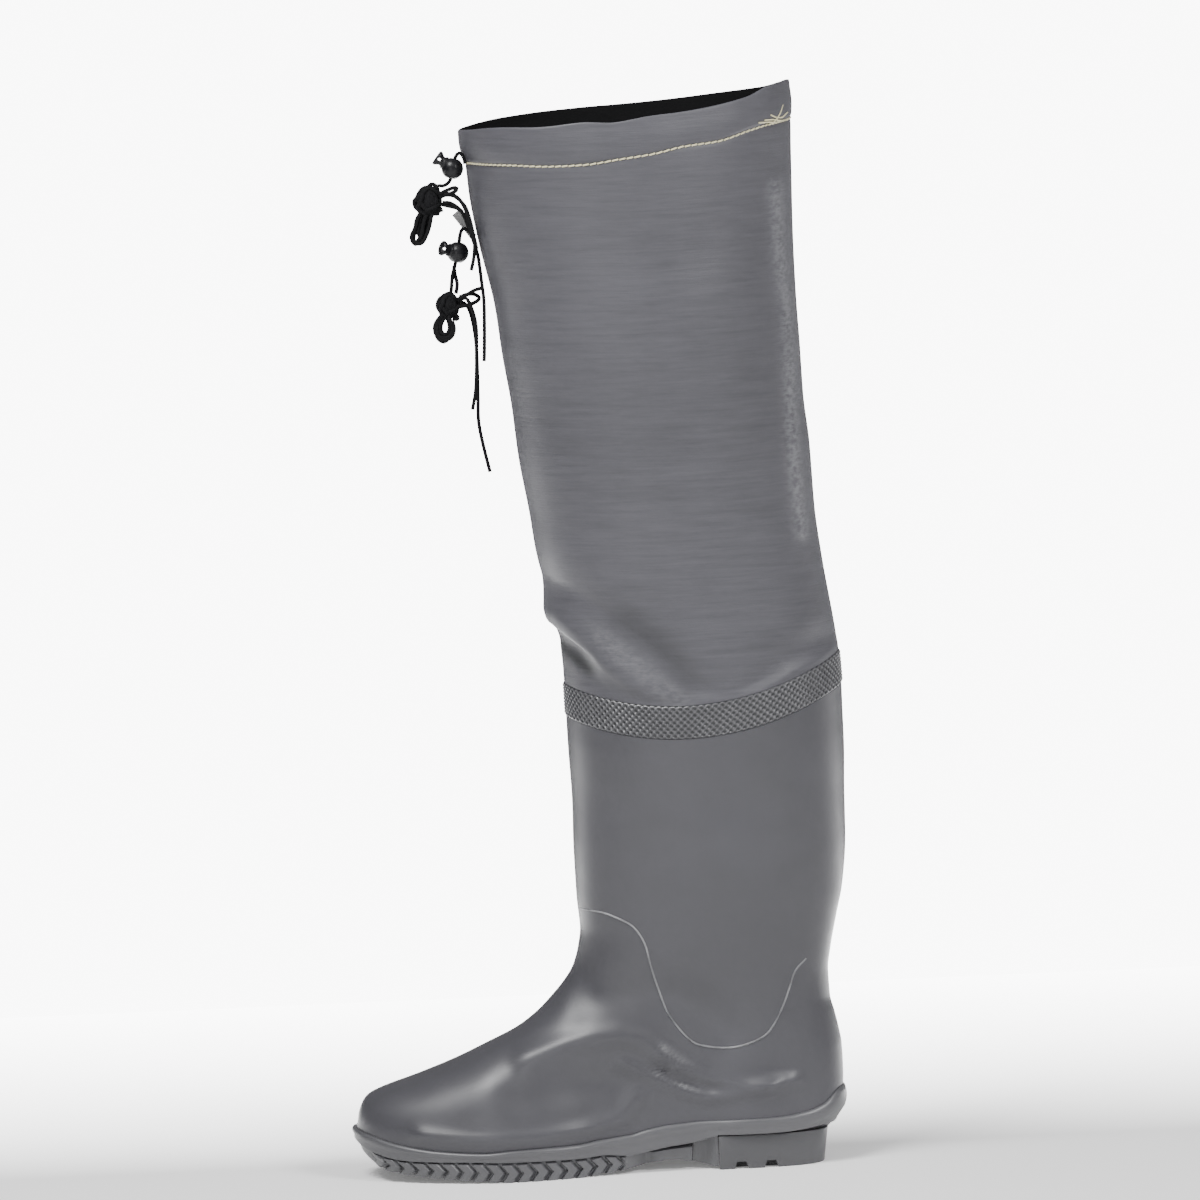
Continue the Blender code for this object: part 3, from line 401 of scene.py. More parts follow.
# Stitching line of the hem, from the front to the back, and how far the rim on each side lifts.
# turn: angle from the front. height: metres. outer and inner: metres above the plain rim.
HEM_ROWS = (
    (0.00, 0.6205, 0.0006, 0.0006),
    (0.30, 0.6214, 0.0020, 0.0010),
    (0.75, 0.6217, 0.0042, 0.0027),
    (1.05, 0.6209, 0.0036, 0.0031),
    (1.30, 0.6216, 0.0044, 0.0027),
    (1.52, 0.6242, 0.0022, 0.0018),
    (1.72, 0.6264, 0.0031, 0.0010),
    (1.93, 0.6300, 0.0023, 0.0005),
    (2.15, 0.6314, 0.0019, 0.0002),
    (2.42, 0.6362, 0.0020, -0.0005),
    (2.63, 0.6386, 0.0040, -0.0010),
    (2.85, 0.6392, 0.0030, -0.0003),
    (3.15, 0.6395, 0.0010, 0.0010),
)

# The hem at its stitching line: metres up from the line and rise.
HEM_GROOVE_ROWS = (
    (-0.0030, 0.0),
    (-0.0016, -0.0001),
    (-0.0008, -0.0004),
    (0.0, -0.0007),
    (0.0008, -0.0002),
    (0.0016, 0.4 * HEM_RISE),
    (0.0030, 0.8 * HEM_RISE),
)

# From there to the rim: share of the way up and share of HEM_RISE.
HEM_FACE_ROWS = (
    (0.10, 1.0), (0.20, 1.2), (0.32, 1.3), (0.44, 1.25), (0.56, 1.1), (0.68, 0.9), (0.78, 0.75),
    (0.87, 0.65), (0.94, 0.6), (0.97, 0.5), (0.99, 0.25), (1.0, 0.0),
)

# Crossed thread ends at the back corner: angle round the hem and metres up from its stitching line.
THREAD_ENDS = (
    ((2.60, 0.0000), (2.68, 0.0014), (2.76, 0.0050), (2.82, 0.0098)),
    ((2.56, 0.0034), (2.66, 0.0024), (2.78, 0.0006), (2.90, 0.0000)),
    ((2.63, 0.0056), (2.70, 0.0034), (2.80, 0.0026), (2.92, 0.0044)),
    ((2.50, 0.0030), (2.60, 0.0016), (2.70, 0.0004), (2.76, 0.0010)),
)

# Moulded line round the ankle, places (x, z) on the outer side.
ANKLE_LINE = (
    (-0.010, 0.162), (0.003, 0.161), (0.014, 0.157), (0.022, 0.152), (0.028, 0.142), (0.031, 0.129),
    (0.035, 0.114), (0.041, 0.097), (0.053, 0.081), (0.063, 0.0765), (0.076, 0.075), (0.088, 0.077),
    (0.099, 0.082), (0.105, 0.089), (0.111, 0.100), (0.115, 0.110), (0.119, 0.120), (0.126, 0.127),
)

# Cord locks, knots and cord routes, the same as the solids.
LOCKS = {
    "upper": {
        "ball": (-0.0681, -0.0145, 0.6184),
        "cord_way": (-0.30, 0.0, -0.954),
        "plunger_way": (-0.79, 0.0, 0.61),
    },
    "lower": {
        "ball": (-0.0672, -0.0040, 0.5663),
        "cord_way": (-0.22, 0.0, -0.975),
        "plunger_way": (-0.82, -0.48, 0.31),
    },
}
KNOTS = {
    "upper": {"centre": (-0.0838, -0.0130, 0.5988), "half": (0.0082, 0.0065, 0.0095)},
    "lower": {"centre": (-0.0745, -0.0040, 0.5340), "half": (0.0068, 0.0058, 0.0078)},
}
CORDS = {
    "drawcord_upper": {
        "points": (
            (-0.0604, -0.0145, 0.6208), (-0.0608, -0.0145, 0.6240), (-0.0621, -0.0145, 0.6266),
            (-0.0638, -0.0145, 0.6276), (-0.0659, -0.0145, 0.6254), (-0.0681, -0.0145, 0.6184),
            (-0.0699, -0.0144, 0.6112), (-0.0738, -0.0140, 0.6081),
        ),
        "end": ("upper", (0.55, -0.05, 0.80)),
    },
    "loop_upper": {
        "start": ("upper", (-0.62, -0.25, -0.85)),
        "points": (
            (-0.0925, -0.0148, 0.5833), (-0.0950, -0.0150, 0.5775), (-0.0925, -0.0145, 0.5730),
            (-0.0885, -0.0138, 0.5763), (-0.0866, -0.0128, 0.5821),
        ),
        "end": ("upper", (-0.15, 0.10, -1.0)),
    },
    "tail_upper_short": {
        "start": ("upper", (0.95, -0.25, 0.35)),
        "points": (
            (-0.0680, -0.0170, 0.6018), (-0.0620, -0.0198, 0.5964), (-0.0596, -0.0205, 0.5902),
            (-0.0580, -0.0205, 0.5833), (-0.0567, -0.0205, 0.5740), (-0.0574, -0.0202, 0.5649),
            (-0.0594, -0.0198, 0.5564),
        ),
    },
    "tail_upper_long": {
        "start": ("upper", (1.0, -0.10, -0.10)),
        "points": (
            (-0.0700, -0.0145, 0.5973), (-0.0642, -0.0155, 0.5928), (-0.0606, -0.0160, 0.5847),
            (-0.0576, -0.0160, 0.5747), (-0.0550, -0.0158, 0.5647), (-0.0535, -0.0155, 0.5487),
            (-0.0526, -0.0153, 0.5370), (-0.0530, -0.0150, 0.5211), (-0.0537, -0.0150, 0.5057),
            (-0.0541, -0.0150, 0.5003),
        ),
    },
    "drawcord_lower": {
        "points": (
            (-0.0561, -0.0070, 0.5760), (-0.0605, -0.0066, 0.5796), (-0.0632, -0.0058, 0.5808),
            (-0.0653, -0.0047, 0.5773), (-0.0672, -0.0040, 0.5663), (-0.0695, -0.0040, 0.5580),
            (-0.0712, -0.0041, 0.5518),
        ),
        "end": ("lower", (0.22, 0.0, 0.95)),
    },
    "loop_lower": {
        "start": ("lower", (-0.60, -0.20, -0.80)),
        "points": (
            (-0.0816, -0.0060, 0.5218), (-0.0824, -0.0061, 0.5158), (-0.0784, -0.0057, 0.5121),
            (-0.0742, -0.0050, 0.5153), (-0.0737, -0.0043, 0.5208),
        ),
        "end": ("lower", (0.10, 0.0, -1.0)),
    },
    "tail_lower_short": {
        "start": ("lower", (0.95, -0.30, 0.45)),
        "points": (
            (-0.0632, -0.0075, 0.5383), (-0.0606, -0.0085, 0.5331), (-0.0586, -0.0090, 0.5256),
            (-0.0580, -0.0090, 0.5182), (-0.0585, -0.0090, 0.5059), (-0.0591, -0.0090, 0.4931),
            (-0.0602, -0.0090, 0.4814), (-0.0625, -0.0090, 0.4705),
        ),
    },
    "tail_lower_long": {
        "start": ("lower", (0.95, 0.25, 0.15)),
        "points": (
            (-0.0640, -0.0025, 0.5344), (-0.0614, -0.0015, 0.5294), (-0.0593, -0.0010, 0.5183),
            (-0.0585, -0.0010, 0.5059), (-0.0586, -0.0015, 0.4906), (-0.0589, -0.0020, 0.4765),
            (-0.0592, -0.0025, 0.4630), (-0.0573, -0.0030, 0.4494), (-0.0536, -0.0030, 0.4314),
        ),
    },
}

# Strands that show at the knots, in millimetres from the knot's centre: folded ends, small loops and the
# second strand of each hanging loop.
KNOT_STRANDS = {
    "upper": (
        ((7, -3, 4.5), (11.5, -3, 6.5), (16, -3.5, 8), (18, -3.5, 7.5), (17.5, -4, 6.5), (15, -4, 5),
         (10, -4, 4)),
        ((7.5, -2, 2.5), (12, -2.5, 4), (16.5, -3, 3), (20, -3.5, -0.5), (22.5, -4, -5.5),
         (24, -4.5, -11.5), (25, -5, -17.5), (26, -5.5, -23)),
        ((8, 0, -2), (11.5, -0.5, -3), (15.5, -1, -4), (18, -1.5, -5), (20.5, -2, -7)),
        ((2, -3, -7), (0.5, -3, -14), (-1.5, -3.5, -19.5), (-4.5, -3.5, -24.5), (-7.5, -4, -25),
         (-10, -4, -23)),
        ((-3.5, 1.5, -7), (-6, 1.5, -13), (-6.5, 1.5, -18), (-6, 1, -21.5), (-4, 1, -21.5),
         (-2.5, 1, -18), (-0.5, 0.5, -13.5), (0, 0.5, -7)),
        ((-1.5, -2.5, -7.5), (-3.5, -2.5, -13.5), (-4.5, -2.5, -18.5), (-6, -2.5, -22),
         (-8, -2.5, -24)),
        ((-2, -1, -7), (-3, -1, -12), (-4.5, -1, -17), (-5.5, -1, -20.5)),
        ((-4, -0.5, -7), (-5.2, -0.5, -12), (-6.6, -0.5, -17), (-7.4, -0.5, -20)),
        ((0, -0.5, -7), (-1, -0.5, -13), (-2.5, -0.5, -18), (-4.5, -0.5, -22)),
        ((-4.5, 0, -6), (-7.5, 0, -11), (-8.5, 0, -16), (-9.5, 0, -20.5), (-10, -1, -23.5)),
        ((-3.5, -1, 4), (-7.5, -1, 2), (-8.5, -1, 0), (-7.5, -1, -3.5), (-4.5, -1, -5.5)),
        ((-0.5, 0, 8), (2.5, 0, 10.5), (5.5, 0, 9), (6.5, 0, 5.5)),
        ((2, -1, -5.5), (5, -1, -8), (6, -1, -7), (5.5, -1, -4.5), (8, -1, -6.5), (7, -1, -4)),
    ),
    "lower": (
        ((6, -3, 4), (11.5, -3.5, 6.5), (16, -4.5, 9), (21, -5, 10.5)),
        ((7, -1, 5), (11.5, -1, 6.5), (16, -1.5, 6.5), (19, -1.5, 4.5), (18, -1.5, 2.5),
         (13.5, -2, 0.5), (8, -2, -0.5), (4, -2, -1)),
        ((5, 1, 7), (6, 1.5, 13), (5, 1.5, 18.5), (4.5, 2, 24)),
        ((-3, -2, -4.5), (-6.5, -2, -9), (-7.5, -2.5, -14), (-6.5, -2.5, -18), (-3, -2.5, -19.5),
         (0.5, -2.5, -18), (2, -2.5, -13.5), (1, -3, -9.5), (0, -3, -5.5)),
        ((-1.5, 1, -6), (-4.5, 1, -10.5), (-5, 1, -15), (-2.5, 1, -18), (0, 0.5, -15.5), (0, 0.5, -11),
         (-1, 0.5, -7)),
        ((-4, -2, -5), (-8, -2.5, -10), (-8.8, -2.5, -14.5), (-7, -2.5, -18.8), (-3, -2.5, -20.5),
         (1.2, -2.5, -18.8), (3, -2.5, -14), (2, -2.5, -9)),
        ((-2, -1, -6), (-5.5, -1.5, -10.5), (-6, -1.5, -14.5), (-4, -1.5, -17.2), (-1, -1.5, -16.5),
         (0.5, -1.5, -12), (0, -1.5, -7)),
        ((-4, 0, 5.5), (-6, 0, 3), (-6.5, 0, -0.5), (-4.5, 0, -3.5)),
        ((2.5, -1, -3.5), (5.5, -1, -7), (5, -1, -8.5), (2.5, -1, -7.5)),
        ((-2.5, 0, 6), (0, 0, 7.5), (2.5, 0, 7), (4, 0, 4.5)),
    ),
}


def column(rows, columns, name):
    """One column of a table."""
    return np.array([row[columns.index(name)] for row in rows])


def smooth(places, values, at):
    """A curve through the values at their places, which never overshoots them."""
    steps = np.diff(places)
    rises = np.diff(values) / steps
    slopes = np.concatenate([rises[:1], np.zeros(len(rises) - 1), rises[-1:]])
    for i in range(1, len(rises)):
        if rises[i - 1] * rises[i] > 0:
            slopes[i] = 2 * rises[i - 1] * rises[i] / (rises[i - 1] + rises[i])
    at = np.clip(at, places[0], places[-1])
    k = np.clip(np.searchsorted(places, at, side="right") - 1, 0, len(steps) - 1)
    t = (at - places[k]) / steps[k]
    start = values[k] * (1 + 2 * t) + slopes[k] * steps[k] * t
    end = values[k + 1] * (3 - 2 * t) + slopes[k + 1] * steps[k] * (t - 1)
    return start * (1 - t) ** 2 + end * t**2


def ease(t):
    """A soft step from 0 to 1."""
    t = np.clip(t, 0, 1)
    return t * t * (3 - 2 * t)


def fade(value, start, length):
    """A soft step from 0 to 1 that starts at a place and takes a length."""
    return ease((value - start) / length)


def between(value, start, soft_start, end, soft_end):
    """1 between two places and 0 outside them, with soft ends of their own lengths."""
    return ease((value - start) / soft_start) * ease((end - value) / soft_end)


def through(rows, at):
    """A curve through rows of a place and a value."""
    places, values = np.array(rows).T
    return smooth(places, values, at)


def sole_line(name, along):
    """Height of one line of the sole at a share of the foot's length."""
    places = column(SOLE_ROWS, SOLE_COLUMNS, "along")
    tread = HEEL_HEIGHT * smooth(places, column(SOLE_ROWS, SOLE_COLUMNS, "tread"), along)
    if name == "tread":
        return tread
    return tread + SOLE_THICKNESS * smooth(places, column(SOLE_ROWS, SOLE_COLUMNS, name), along)


def outline(along, inset):
    """x, half width and centre line of the foot's outline, drawn in by an inset."""
    places = column(OUTLINE_ROWS, OUTLINE_COLUMNS, "along")
    ball = smooth(places, column(OUTLINE_ROWS, OUTLINE_COLUMNS, "ball"), along)
    heel = smooth(places, column(OUTLINE_ROWS, OUTLINE_COLUMNS, "heel"), along)
    bend = smooth(places, column(OUTLINE_ROWS, OUTLINE_COLUMNS, "bend"), along)
    x = TOE_X + inset + along * (FOOT_LENGTH - 2 * inset)
    chord = 2 * np.sqrt(np.clip(along * (1 - along), 0, None))
    return x, (BALL_WIDTH * ball + HEEL_WIDTH * heel - inset) * chord, BALL_WIDTH * bend


def foot_share(x):
    """How far along the foot a place is, from 0 at the toe to 1 at the heel rim."""
    return np.clip((x - TOE_X) / FOOT_LENGTH, 0, 1)


def leg_rows():
    """Height, front, back and half width of each leg section above the ankle."""
    rows = []
    for rise, front, back, half in CALF_ROWS:
        z = ANKLE_HEIGHT + rise * (BAND_HEIGHT - ANKLE_HEIGHT)
        rows.append((z, CALF_X - front * CALF_DEPTH, CALF_X + back * CALF_DEPTH, half * CALF_WIDTH))
    for rise, front, back, half in SHAFT_ROWS:
        z = BAND_HEIGHT + rise * (RIM_HEIGHT - BAND_HEIGHT)
        rows.append((z, THIGH_X - front * THIGH_DEPTH, THIGH_X + back * THIGH_DEPTH, half * THIGH_WIDTH))
    return rows


def front_x(z):
    """The front outline, from the toe over the instep and up the leg."""
    rows = [(h * ANKLE_HEIGHT, HEEL_RIM_X - back * FOOT_LENGTH) for h, back in TOP_LINE_ROWS]
    return through(rows + [(row[0], row[1]) for row in leg_rows()], z)


def back_x(z):
    """The back outline, from the heel up the leg."""
    rows = [(h * ANKLE_HEIGHT, HEEL_RIM_X - inset * HEEL_WIDTH) for h, inset in HEEL_LINE_ROWS]
    return through(rows + [(row[0], row[2]) for row in leg_rows()], z)


def leg_half(z):
    """Half width of the leg's oval."""
    rows = [(h * ANKLE_HEIGHT, half * ANKLE_WIDTH) for h, half in ANKLE_ROWS]
    return through(rows + [(row[0], row[3]) for row in leg_rows()], z)


def instep_height(x):
    """Height of the foot's top line at x. Behind the ankle's bend it runs on up the leg."""
    heights = np.array([height for height, _ in TOP_LINE_ROWS]) * ANKLE_HEIGHT
    places = HEEL_RIM_X - np.array([back for _, back in TOP_LINE_ROWS]) * FOOT_LENGTH
    return smooth(places, heights, x) + 4 * np.clip(x - places[-1], 0, None)


def foot_ring(tip_height, follow, turn):
    """x, centre line, half width and height along one section of the foot and ankle."""
    share = (1 - np.cos(turn)) / 2
    z = tip_height + (sole_line("top", share) - sole_line("top", 0)) * follow
    x_front, x_back = front_x(z[0]), back_x(z[-1])
    x = x_front + (x_back - x_front) * share
    last_x = x - (x_back - (HEEL_RIM_X - UPPER_INSET)) * share**2
    along = (last_x - TOE_X - UPPER_INSET) / (FOOT_LENGTH - 2 * UPPER_INSET)
    _, half, centre = outline(np.clip(along, 0, 1), UPPER_INSET)
    base = sole_line("top", foot_share(x))
    climb = np.clip((z - base) / np.maximum(instep_height(x) - base, 1e-6), 0, 1)
    dome = np.sqrt(1 - climb**INSTEP_ROUNDNESS)
    leg = fade(z / ANKLE_HEIGHT, *FOOT_TO_LEG)
    width = (1 - leg) * half * dome + leg * leg_half(z) * np.sin(turn)
    width[0] = width[-1] = 0
    return x, (1 - leg) * centre, width, z


def edge_ring(inset, turn):
    """The upper's lower edge, which stands on the sole's ledge."""
    share = (1 - np.cos(turn)) / 2
    x, half, centre = outline(share, inset)
    return x, centre, half, sole_line("top", share) + GAP


def leg_ring(z, turn):
    """One section of the leg at the heights z."""
    x = front_x(z) + (back_x(z) - front_x(z)) * (1 - np.cos(turn)) / 2
    return x, np.zeros(len(turn)), leg_half(z) * np.sin(turn), z


def band_line(turn):
    """Middle of the join band, which dips on both sides of the calf and stands higher at the back."""
    return BAND_HEIGHT - BAND_SLOPE / 2 * np.cos(turn) - BAND_DIP * np.sin(turn) ** 2


def rim_line(turn):
    """Top rim of the shaft: higher at the back, with a raised corner there."""
    level = RIM_HEIGHT - RIM_SLOPE / 2 * np.cos(turn)
    return level - RIM_SAG * np.sin(turn) ** 2 + RIM_CORNER * ((1 - np.cos(turn)) / 2) ** 12


def closed_ring(x, centre, half, z):
    """Points once round a section: the outer side (-Y) from front to back, then the inner side."""
    outer = np.stack([x, centre - half, z], axis=1)
    inner = np.stack([x, centre + half, z], axis=1)
    return np.concatenate([outer, inner[-2:0:-1]])


def inward(rings):
    """Unit vectors that point into the leg, for each place of a grid of rings."""
    across = np.roll(rings, -1, axis=1) - np.roll(rings, 1, axis=1)
    normals = np.cross(np.gradient(rings, axis=0), across)
    for end in (0, -1):
        normals[end, :, 2] = 0
    return normals / np.linalg.norm(normals, axis=2, keepdims=True)


def relief(points, rows):
    """How far the ridges and troughs of a table lift each point."""
    total = np.zeros(points.shape[:-1])
    for side, rise, reach, line in rows:
        away, _ = line_distance(points, line)
        lifted = rise * np.exp(-((away / reach) ** 2))
        if side:
            lifted *= ease(0.5 + side * points[..., 1] / SIDE_BLEND)
        total += lifted
    return total


def line_distance(points, line):
    """Distance from a line seen from the side: plain, and above zero only behind and over the line."""
    nearest = np.full(points.shape[:-1], 1.0)
    signed = np.zeros(points.shape[:-1])
    for (x0, z0), (x1, z1) in zip(line, line[1:]):
        way = np.array((x1 - x0, z1 - z0))
        dx, dz = points[..., 0] - x0, points[..., 2] - z0
        t = np.clip((dx * way[0] + dz * way[1]) / (way @ way), 0, 1)
        away = np.hypot(dx - t * way[0], dz - t * way[1])
        side = np.sign(way[0] * dz - way[1] * dx)
        signed = np.where(away < nearest, side * away, signed)
        nearest = np.minimum(nearest, away)
    return nearest, signed


def lapped_fold(points):
    """Rise of the fold where the fabric laps over above the band, weaker on the inner side."""
    away, sharp, soft = np.array(FOLD_ROWS).T
    _, place = line_distance(points, FOLD_LINE)
    blend = fade(points[..., 0], *FOLD_SOFTENS)
    rise = smooth(away, sharp, place) * (1 - blend) + smooth(away, soft, place) * blend
    low = fade(points[..., 2], *FOLD_STARTS_UP)
    outer = ease(0.5 - points[..., 1] / FOLD_ACROSS)
    side = FOLD_INNER_SHARE + (1 - FOLD_INNER_SHARE) * outer
    front = FOLD_FRONT_SHARE + (1 - FOLD_FRONT_SHARE) * fade(points[..., 0], *FOLD_STARTS_BACK)
    return rise * low * side * front


def swell(points, size, rise):
    """A slow, irregular rise and fall of a soft surface."""
    x, y, z = points[..., 0] / size, points[..., 1] / size, points[..., 2] / size
    waves = np.sin(x * 2.1 + 1.7 * np.sin(z * 1.3)) + np.sin(z * 1.9 + 1.3 * np.sin(y * 1.7 + 0.4))
    return rise * 0.5 * (waves + np.sin(y * 2.3 - x * 0.9 + 2.0))


def ring_faces(rows, around, start=0):
    """Quads between neighbouring rings, each ring closed."""
    faces = []
    for r in range(rows - 1):
        for i in range(around):
            j = (i + 1) % around
            a = start + r * around
            faces.append((a + i, a + j, a + around + j, a + around + i))
    return faces


def strip_cap(start, around, flip):
    """Quads across a ring, from each point of one side to its twin on the other."""
    faces = []
    half = around // 2
    for i in range(half):
        a, b = start + i, start + i + 1
        c, d = start + (around - i - 1) % around, start + (around - i) % around
        corners = [a, b, c, d] if i not in (0, half - 1) else [a, b, c] if i == 0 else [a, b, d]
        faces.append(tuple(reversed(corners)) if flip else tuple(corners))
    return faces


def add_mesh(name, points, faces, finishes, indices=None, sharp=40):
    """A smooth shaded piece on the root body, with its faces turned outwards."""
    mesh = bpy.data.meshes.new(name)
    mesh.from_pydata([tuple(p) for p in points], [], faces)
    for finish in finishes:
        mesh.materials.append(finish)
    if indices is not None:
        mesh.polygons.foreach_set("material_index", indices)
    build = bmesh.new()
    build.from_mesh(mesh)
    bmesh.ops.recalc_face_normals(build, faces=build.faces)
    build.to_mesh(mesh)
    build.free()
    mesh.shade_smooth()
    mesh.set_sharp_from_angle(angle=math.radians(sharp))
    obj = bpy.data.objects.new(name, mesh)
    bpy.context.scene.collection.objects.link(obj)
    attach(obj, "root")
    return obj


def add_wall(name, outer, inner, finishes):
    """A hollow wall from its outer and inner surfaces. The inner surface takes the second finish."""
    rows, around = outer.shape[:2]
    points = np.concatenate([outer.reshape(-1, 3), inner.reshape(-1, 3)])
    shift = rows * around
    faces = ring_faces(rows, around)
    skin = len(faces)
    faces += [tuple(reversed(face)) for face in ring_faces(rows, around, shift)]
    for end in (0, (rows - 1) * around):
        for i in range(around):
            j = (i + 1) % around
            faces.append((end + i, end + j, shift + end + j, shift + end + i))
    indices = [0] * skin + [len(finishes) - 1] * skin + [0] * (2 * around)
    return add_mesh(name, points, faces, finishes, indices)


def add_values(obj, name, values):
    """Keeps a number for each place of a piece's outer surface, for its material to read."""
    kept = np.zeros(len(obj.data.vertices))
    kept[: values.size] = values.ravel()
    obj.data.attributes.new(name, "FLOAT", "POINT").data.foreach_set("value", kept)


def new_finish(name, colour, roughness):
    """A node material: its tree, its shader and the coordinates that its textures use."""
    made = bpy.data.materials.new(name)
    made.use_nodes = True
    tree = made.node_tree
    shader = tree.nodes["Principled BSDF"]
    shader.inputs["Base Color"].default_value = (*colour, 1)
    shader.inputs["Roughness"].default_value = roughness
    where = tree.nodes.new("ShaderNodeTexCoord").outputs["Object"]
    return made, tree, shader, where


def stretched_noise(tree, where, scale, stretch=(1, 1, 1), detail=4.0, roughness=0.55):
    """A noise texture read in the object's own coordinates, stretched along an axis."""
    mapping = tree.nodes.new("ShaderNodeMapping")
    mapping.inputs["Scale"].default_value = stretch
    tree.links.new(where, mapping.inputs["Vector"])
    noise = tree.nodes.new("ShaderNodeTexNoise")
    noise.inputs["Scale"].default_value = scale
    noise.inputs["Detail"].default_value = detail
    noise.inputs["Roughness"].default_value = roughness
    tree.links.new(mapping.outputs["Vector"], noise.inputs["Vector"])
    return noise.outputs["Fac"]


def remap(tree, value, low, high, to_low, to_high):
    """A value moved from one range to another and kept inside it."""
    node = tree.nodes.new("ShaderNodeMapRange")
    for name, number in (("From Min", low), ("From Max", high), ("To Min", to_low), ("To Max", to_high)):
        node.inputs[name].default_value = number
    tree.links.new(value, node.inputs["Value"])
    return node.outputs["Result"]


def tinted(tree, value, dark, light):
    """A colour between two, by a value from 0 to 1. The first can be another node's colour."""
    mix = tree.nodes.new("ShaderNodeMix")
    mix.data_type = "RGBA"
    if isinstance(dark, tuple):
        mix.inputs[6].default_value = (*dark, 1)
    else:
        tree.links.new(dark, mix.inputs[6])
    mix.inputs[7].default_value = (*light, 1)
    tree.links.new(value, mix.inputs[0])
    return mix.outputs[2]


def colour_by(tree, shader, value, dark, light):
    """Gives the shader a colour between two, by a value from 0 to 1."""
    tree.links.new(tinted(tree, value, dark, light), shader.inputs["Base Color"])


def maths(tree, operation, *values):
    """The result of one sum, whose values are numbers or come from other nodes."""
    node = tree.nodes.new("ShaderNodeMath")
    node.operation = operation
    for socket, value in zip(node.inputs, values):
        if isinstance(value, float):
            socket.default_value = value
        else:
            tree.links.new(value, socket)
    return node.outputs["Value"]


def kept_value(tree, name):
    """The number that add_values keeps on a piece."""
    node = tree.nodes.new("ShaderNodeAttribute")
    node.attribute_name = name
    return node.outputs["Fac"]


def add_bump(tree, shader, height, strength, distance, under=None):
    """A bump from a height, on top of another bump if there is one."""
    bump = tree.nodes.new("ShaderNodeBump")
    bump.inputs["Strength"].default_value = strength
    bump.inputs["Distance"].default_value = distance
    tree.links.new(height, bump.inputs["Height"])
    if under is not None:
        tree.links.new(under, bump.inputs["Normal"])
    tree.links.new(bump.outputs["Normal"], shader.inputs["Normal"])
    return bump.outputs["Normal"]


def moulded_finish(name, dark, light, roughness, coat):
    """Moulded grey boot material: a soft sheen, cloudy tone, fine pits and rubbed patches."""
    made, tree, shader, where = new_finish(name, dark, roughness)
    cloud = stretched_noise(tree, where, 11.0, detail=3.0)
    colour_by(tree, shader, remap(tree, cloud, 0.32, 0.68, 0.0, 1.0), dark, light)
    mottle = stretched_noise(tree, where, 46.0, detail=6.0)
    patchy = remap(tree, mottle, 0.3, 0.7, roughness - 0.04, roughness + 0.06)
    tree.links.new(patchy, shader.inputs["Roughness"])
    shader.inputs["Specular IOR Level"].default_value = 0.42
    shader.inputs["Coat Weight"].default_value = coat
    shader.inputs["Coat Roughness"].default_value = 0.36
    peel = add_bump(tree, shader, stretched_noise(tree, where, 160.0, detail=2.0), 0.08, 0.0006)
    add_bump(tree, shader, stretched_noise(tree, where, 1500.0, detail=2.0), 0.06, 0.0002, peel)
    return made


def band_finish():
    """The welded band: dark between the raised wires of its net, lighter on them."""
    made, tree, shader, where = new_finish("net_band", (0.05, 0.05, 0.055), 0.4)
    patchy = remap(tree, stretched_noise(tree, where, 90.0, detail=3.0), 0.35, 0.65, 0.75, 1.0)
    wires = maths(tree, "MULTIPLY", kept_value(tree, "net"), patchy)
    colour_by(tree, shader, wires, (0.008, 0.008, 0.010), (0.105, 0.105, 0.114))
    shader.inputs["Coat Weight"].default_value = 0.25
    shader.inputs["Coat Roughness"].default_value = 0.25
    add_bump(tree, shader, stretched_noise(tree, where, 900.0, detail=2.0), 0.08, 0.0002)
    return made


def fabric_finish():
    """Coated shaft fabric: fine level threads, faint darker slubs, a dull sheen, a painted highlight down
    the back ridge and over the fold, and painted shade in the fold.
    """
    made, tree, shader, where = new_finish("coated_fabric", (0.06, 0.06, 0.065), 0.5)
    slub = stretched_noise(tree, where, 24.0, (1.0, 1.0, 17.0), detail=7.0, roughness=0.72)
    cloud = remap(tree, stretched_noise(tree, where, 9.0, detail=3.0), 0.3, 0.7, 0.0, 0.22)
    share = remap(tree, maths(tree, "MULTIPLY_ADD", slub, 0.8, cloud), 0.30, 0.66, 0.0, 1.0)
    colour = tinted(tree, share, (0.049, 0.0485, 0.056), (0.073, 0.072, 0.083))
    wrinkle = stretched_noise(tree, where, 210.0, (1.0, 1.0, 2.2), detail=3.0)
    patchy = remap(tree, wrinkle, 0.35, 0.65, 0.1, 0.85)
    # Painted highlight down the back ridge and over the fold's crest, broken up by the wrinkle noise.
    painted_highlight = maths(tree, "MULTIPLY", kept_value(tree, "highlight_mask"), patchy)
    colour = tinted(tree, painted_highlight, colour, (0.150, 0.150, 0.162))
    # Painted shade in the fold's hollows and under its lip.
    colour_by(tree, shader, kept_value(tree, "shade"), colour, (0.010, 0.010, 0.012))
    tree.links.new(remap(tree, slub, 0.3, 0.7, 0.42, 0.56), shader.inputs["Roughness"])
    shader.inputs["Specular IOR Level"].default_value = 0.42
    shader.inputs["Coat Weight"].default_value = 0.08
    shader.inputs["Coat Roughness"].default_value = 0.4
    thread = stretched_noise(tree, where, 120.0, (0.6, 0.6, 14.0), detail=3.0, roughness=0.6)
    under = add_bump(tree, shader, thread, 0.30, 0.0003)
    under = add_bump(tree, shader, slub, 0.35, 0.0007, under)
    add_bump(tree, shader, wrinkle, 0.12, 0.0006, under)
    return made


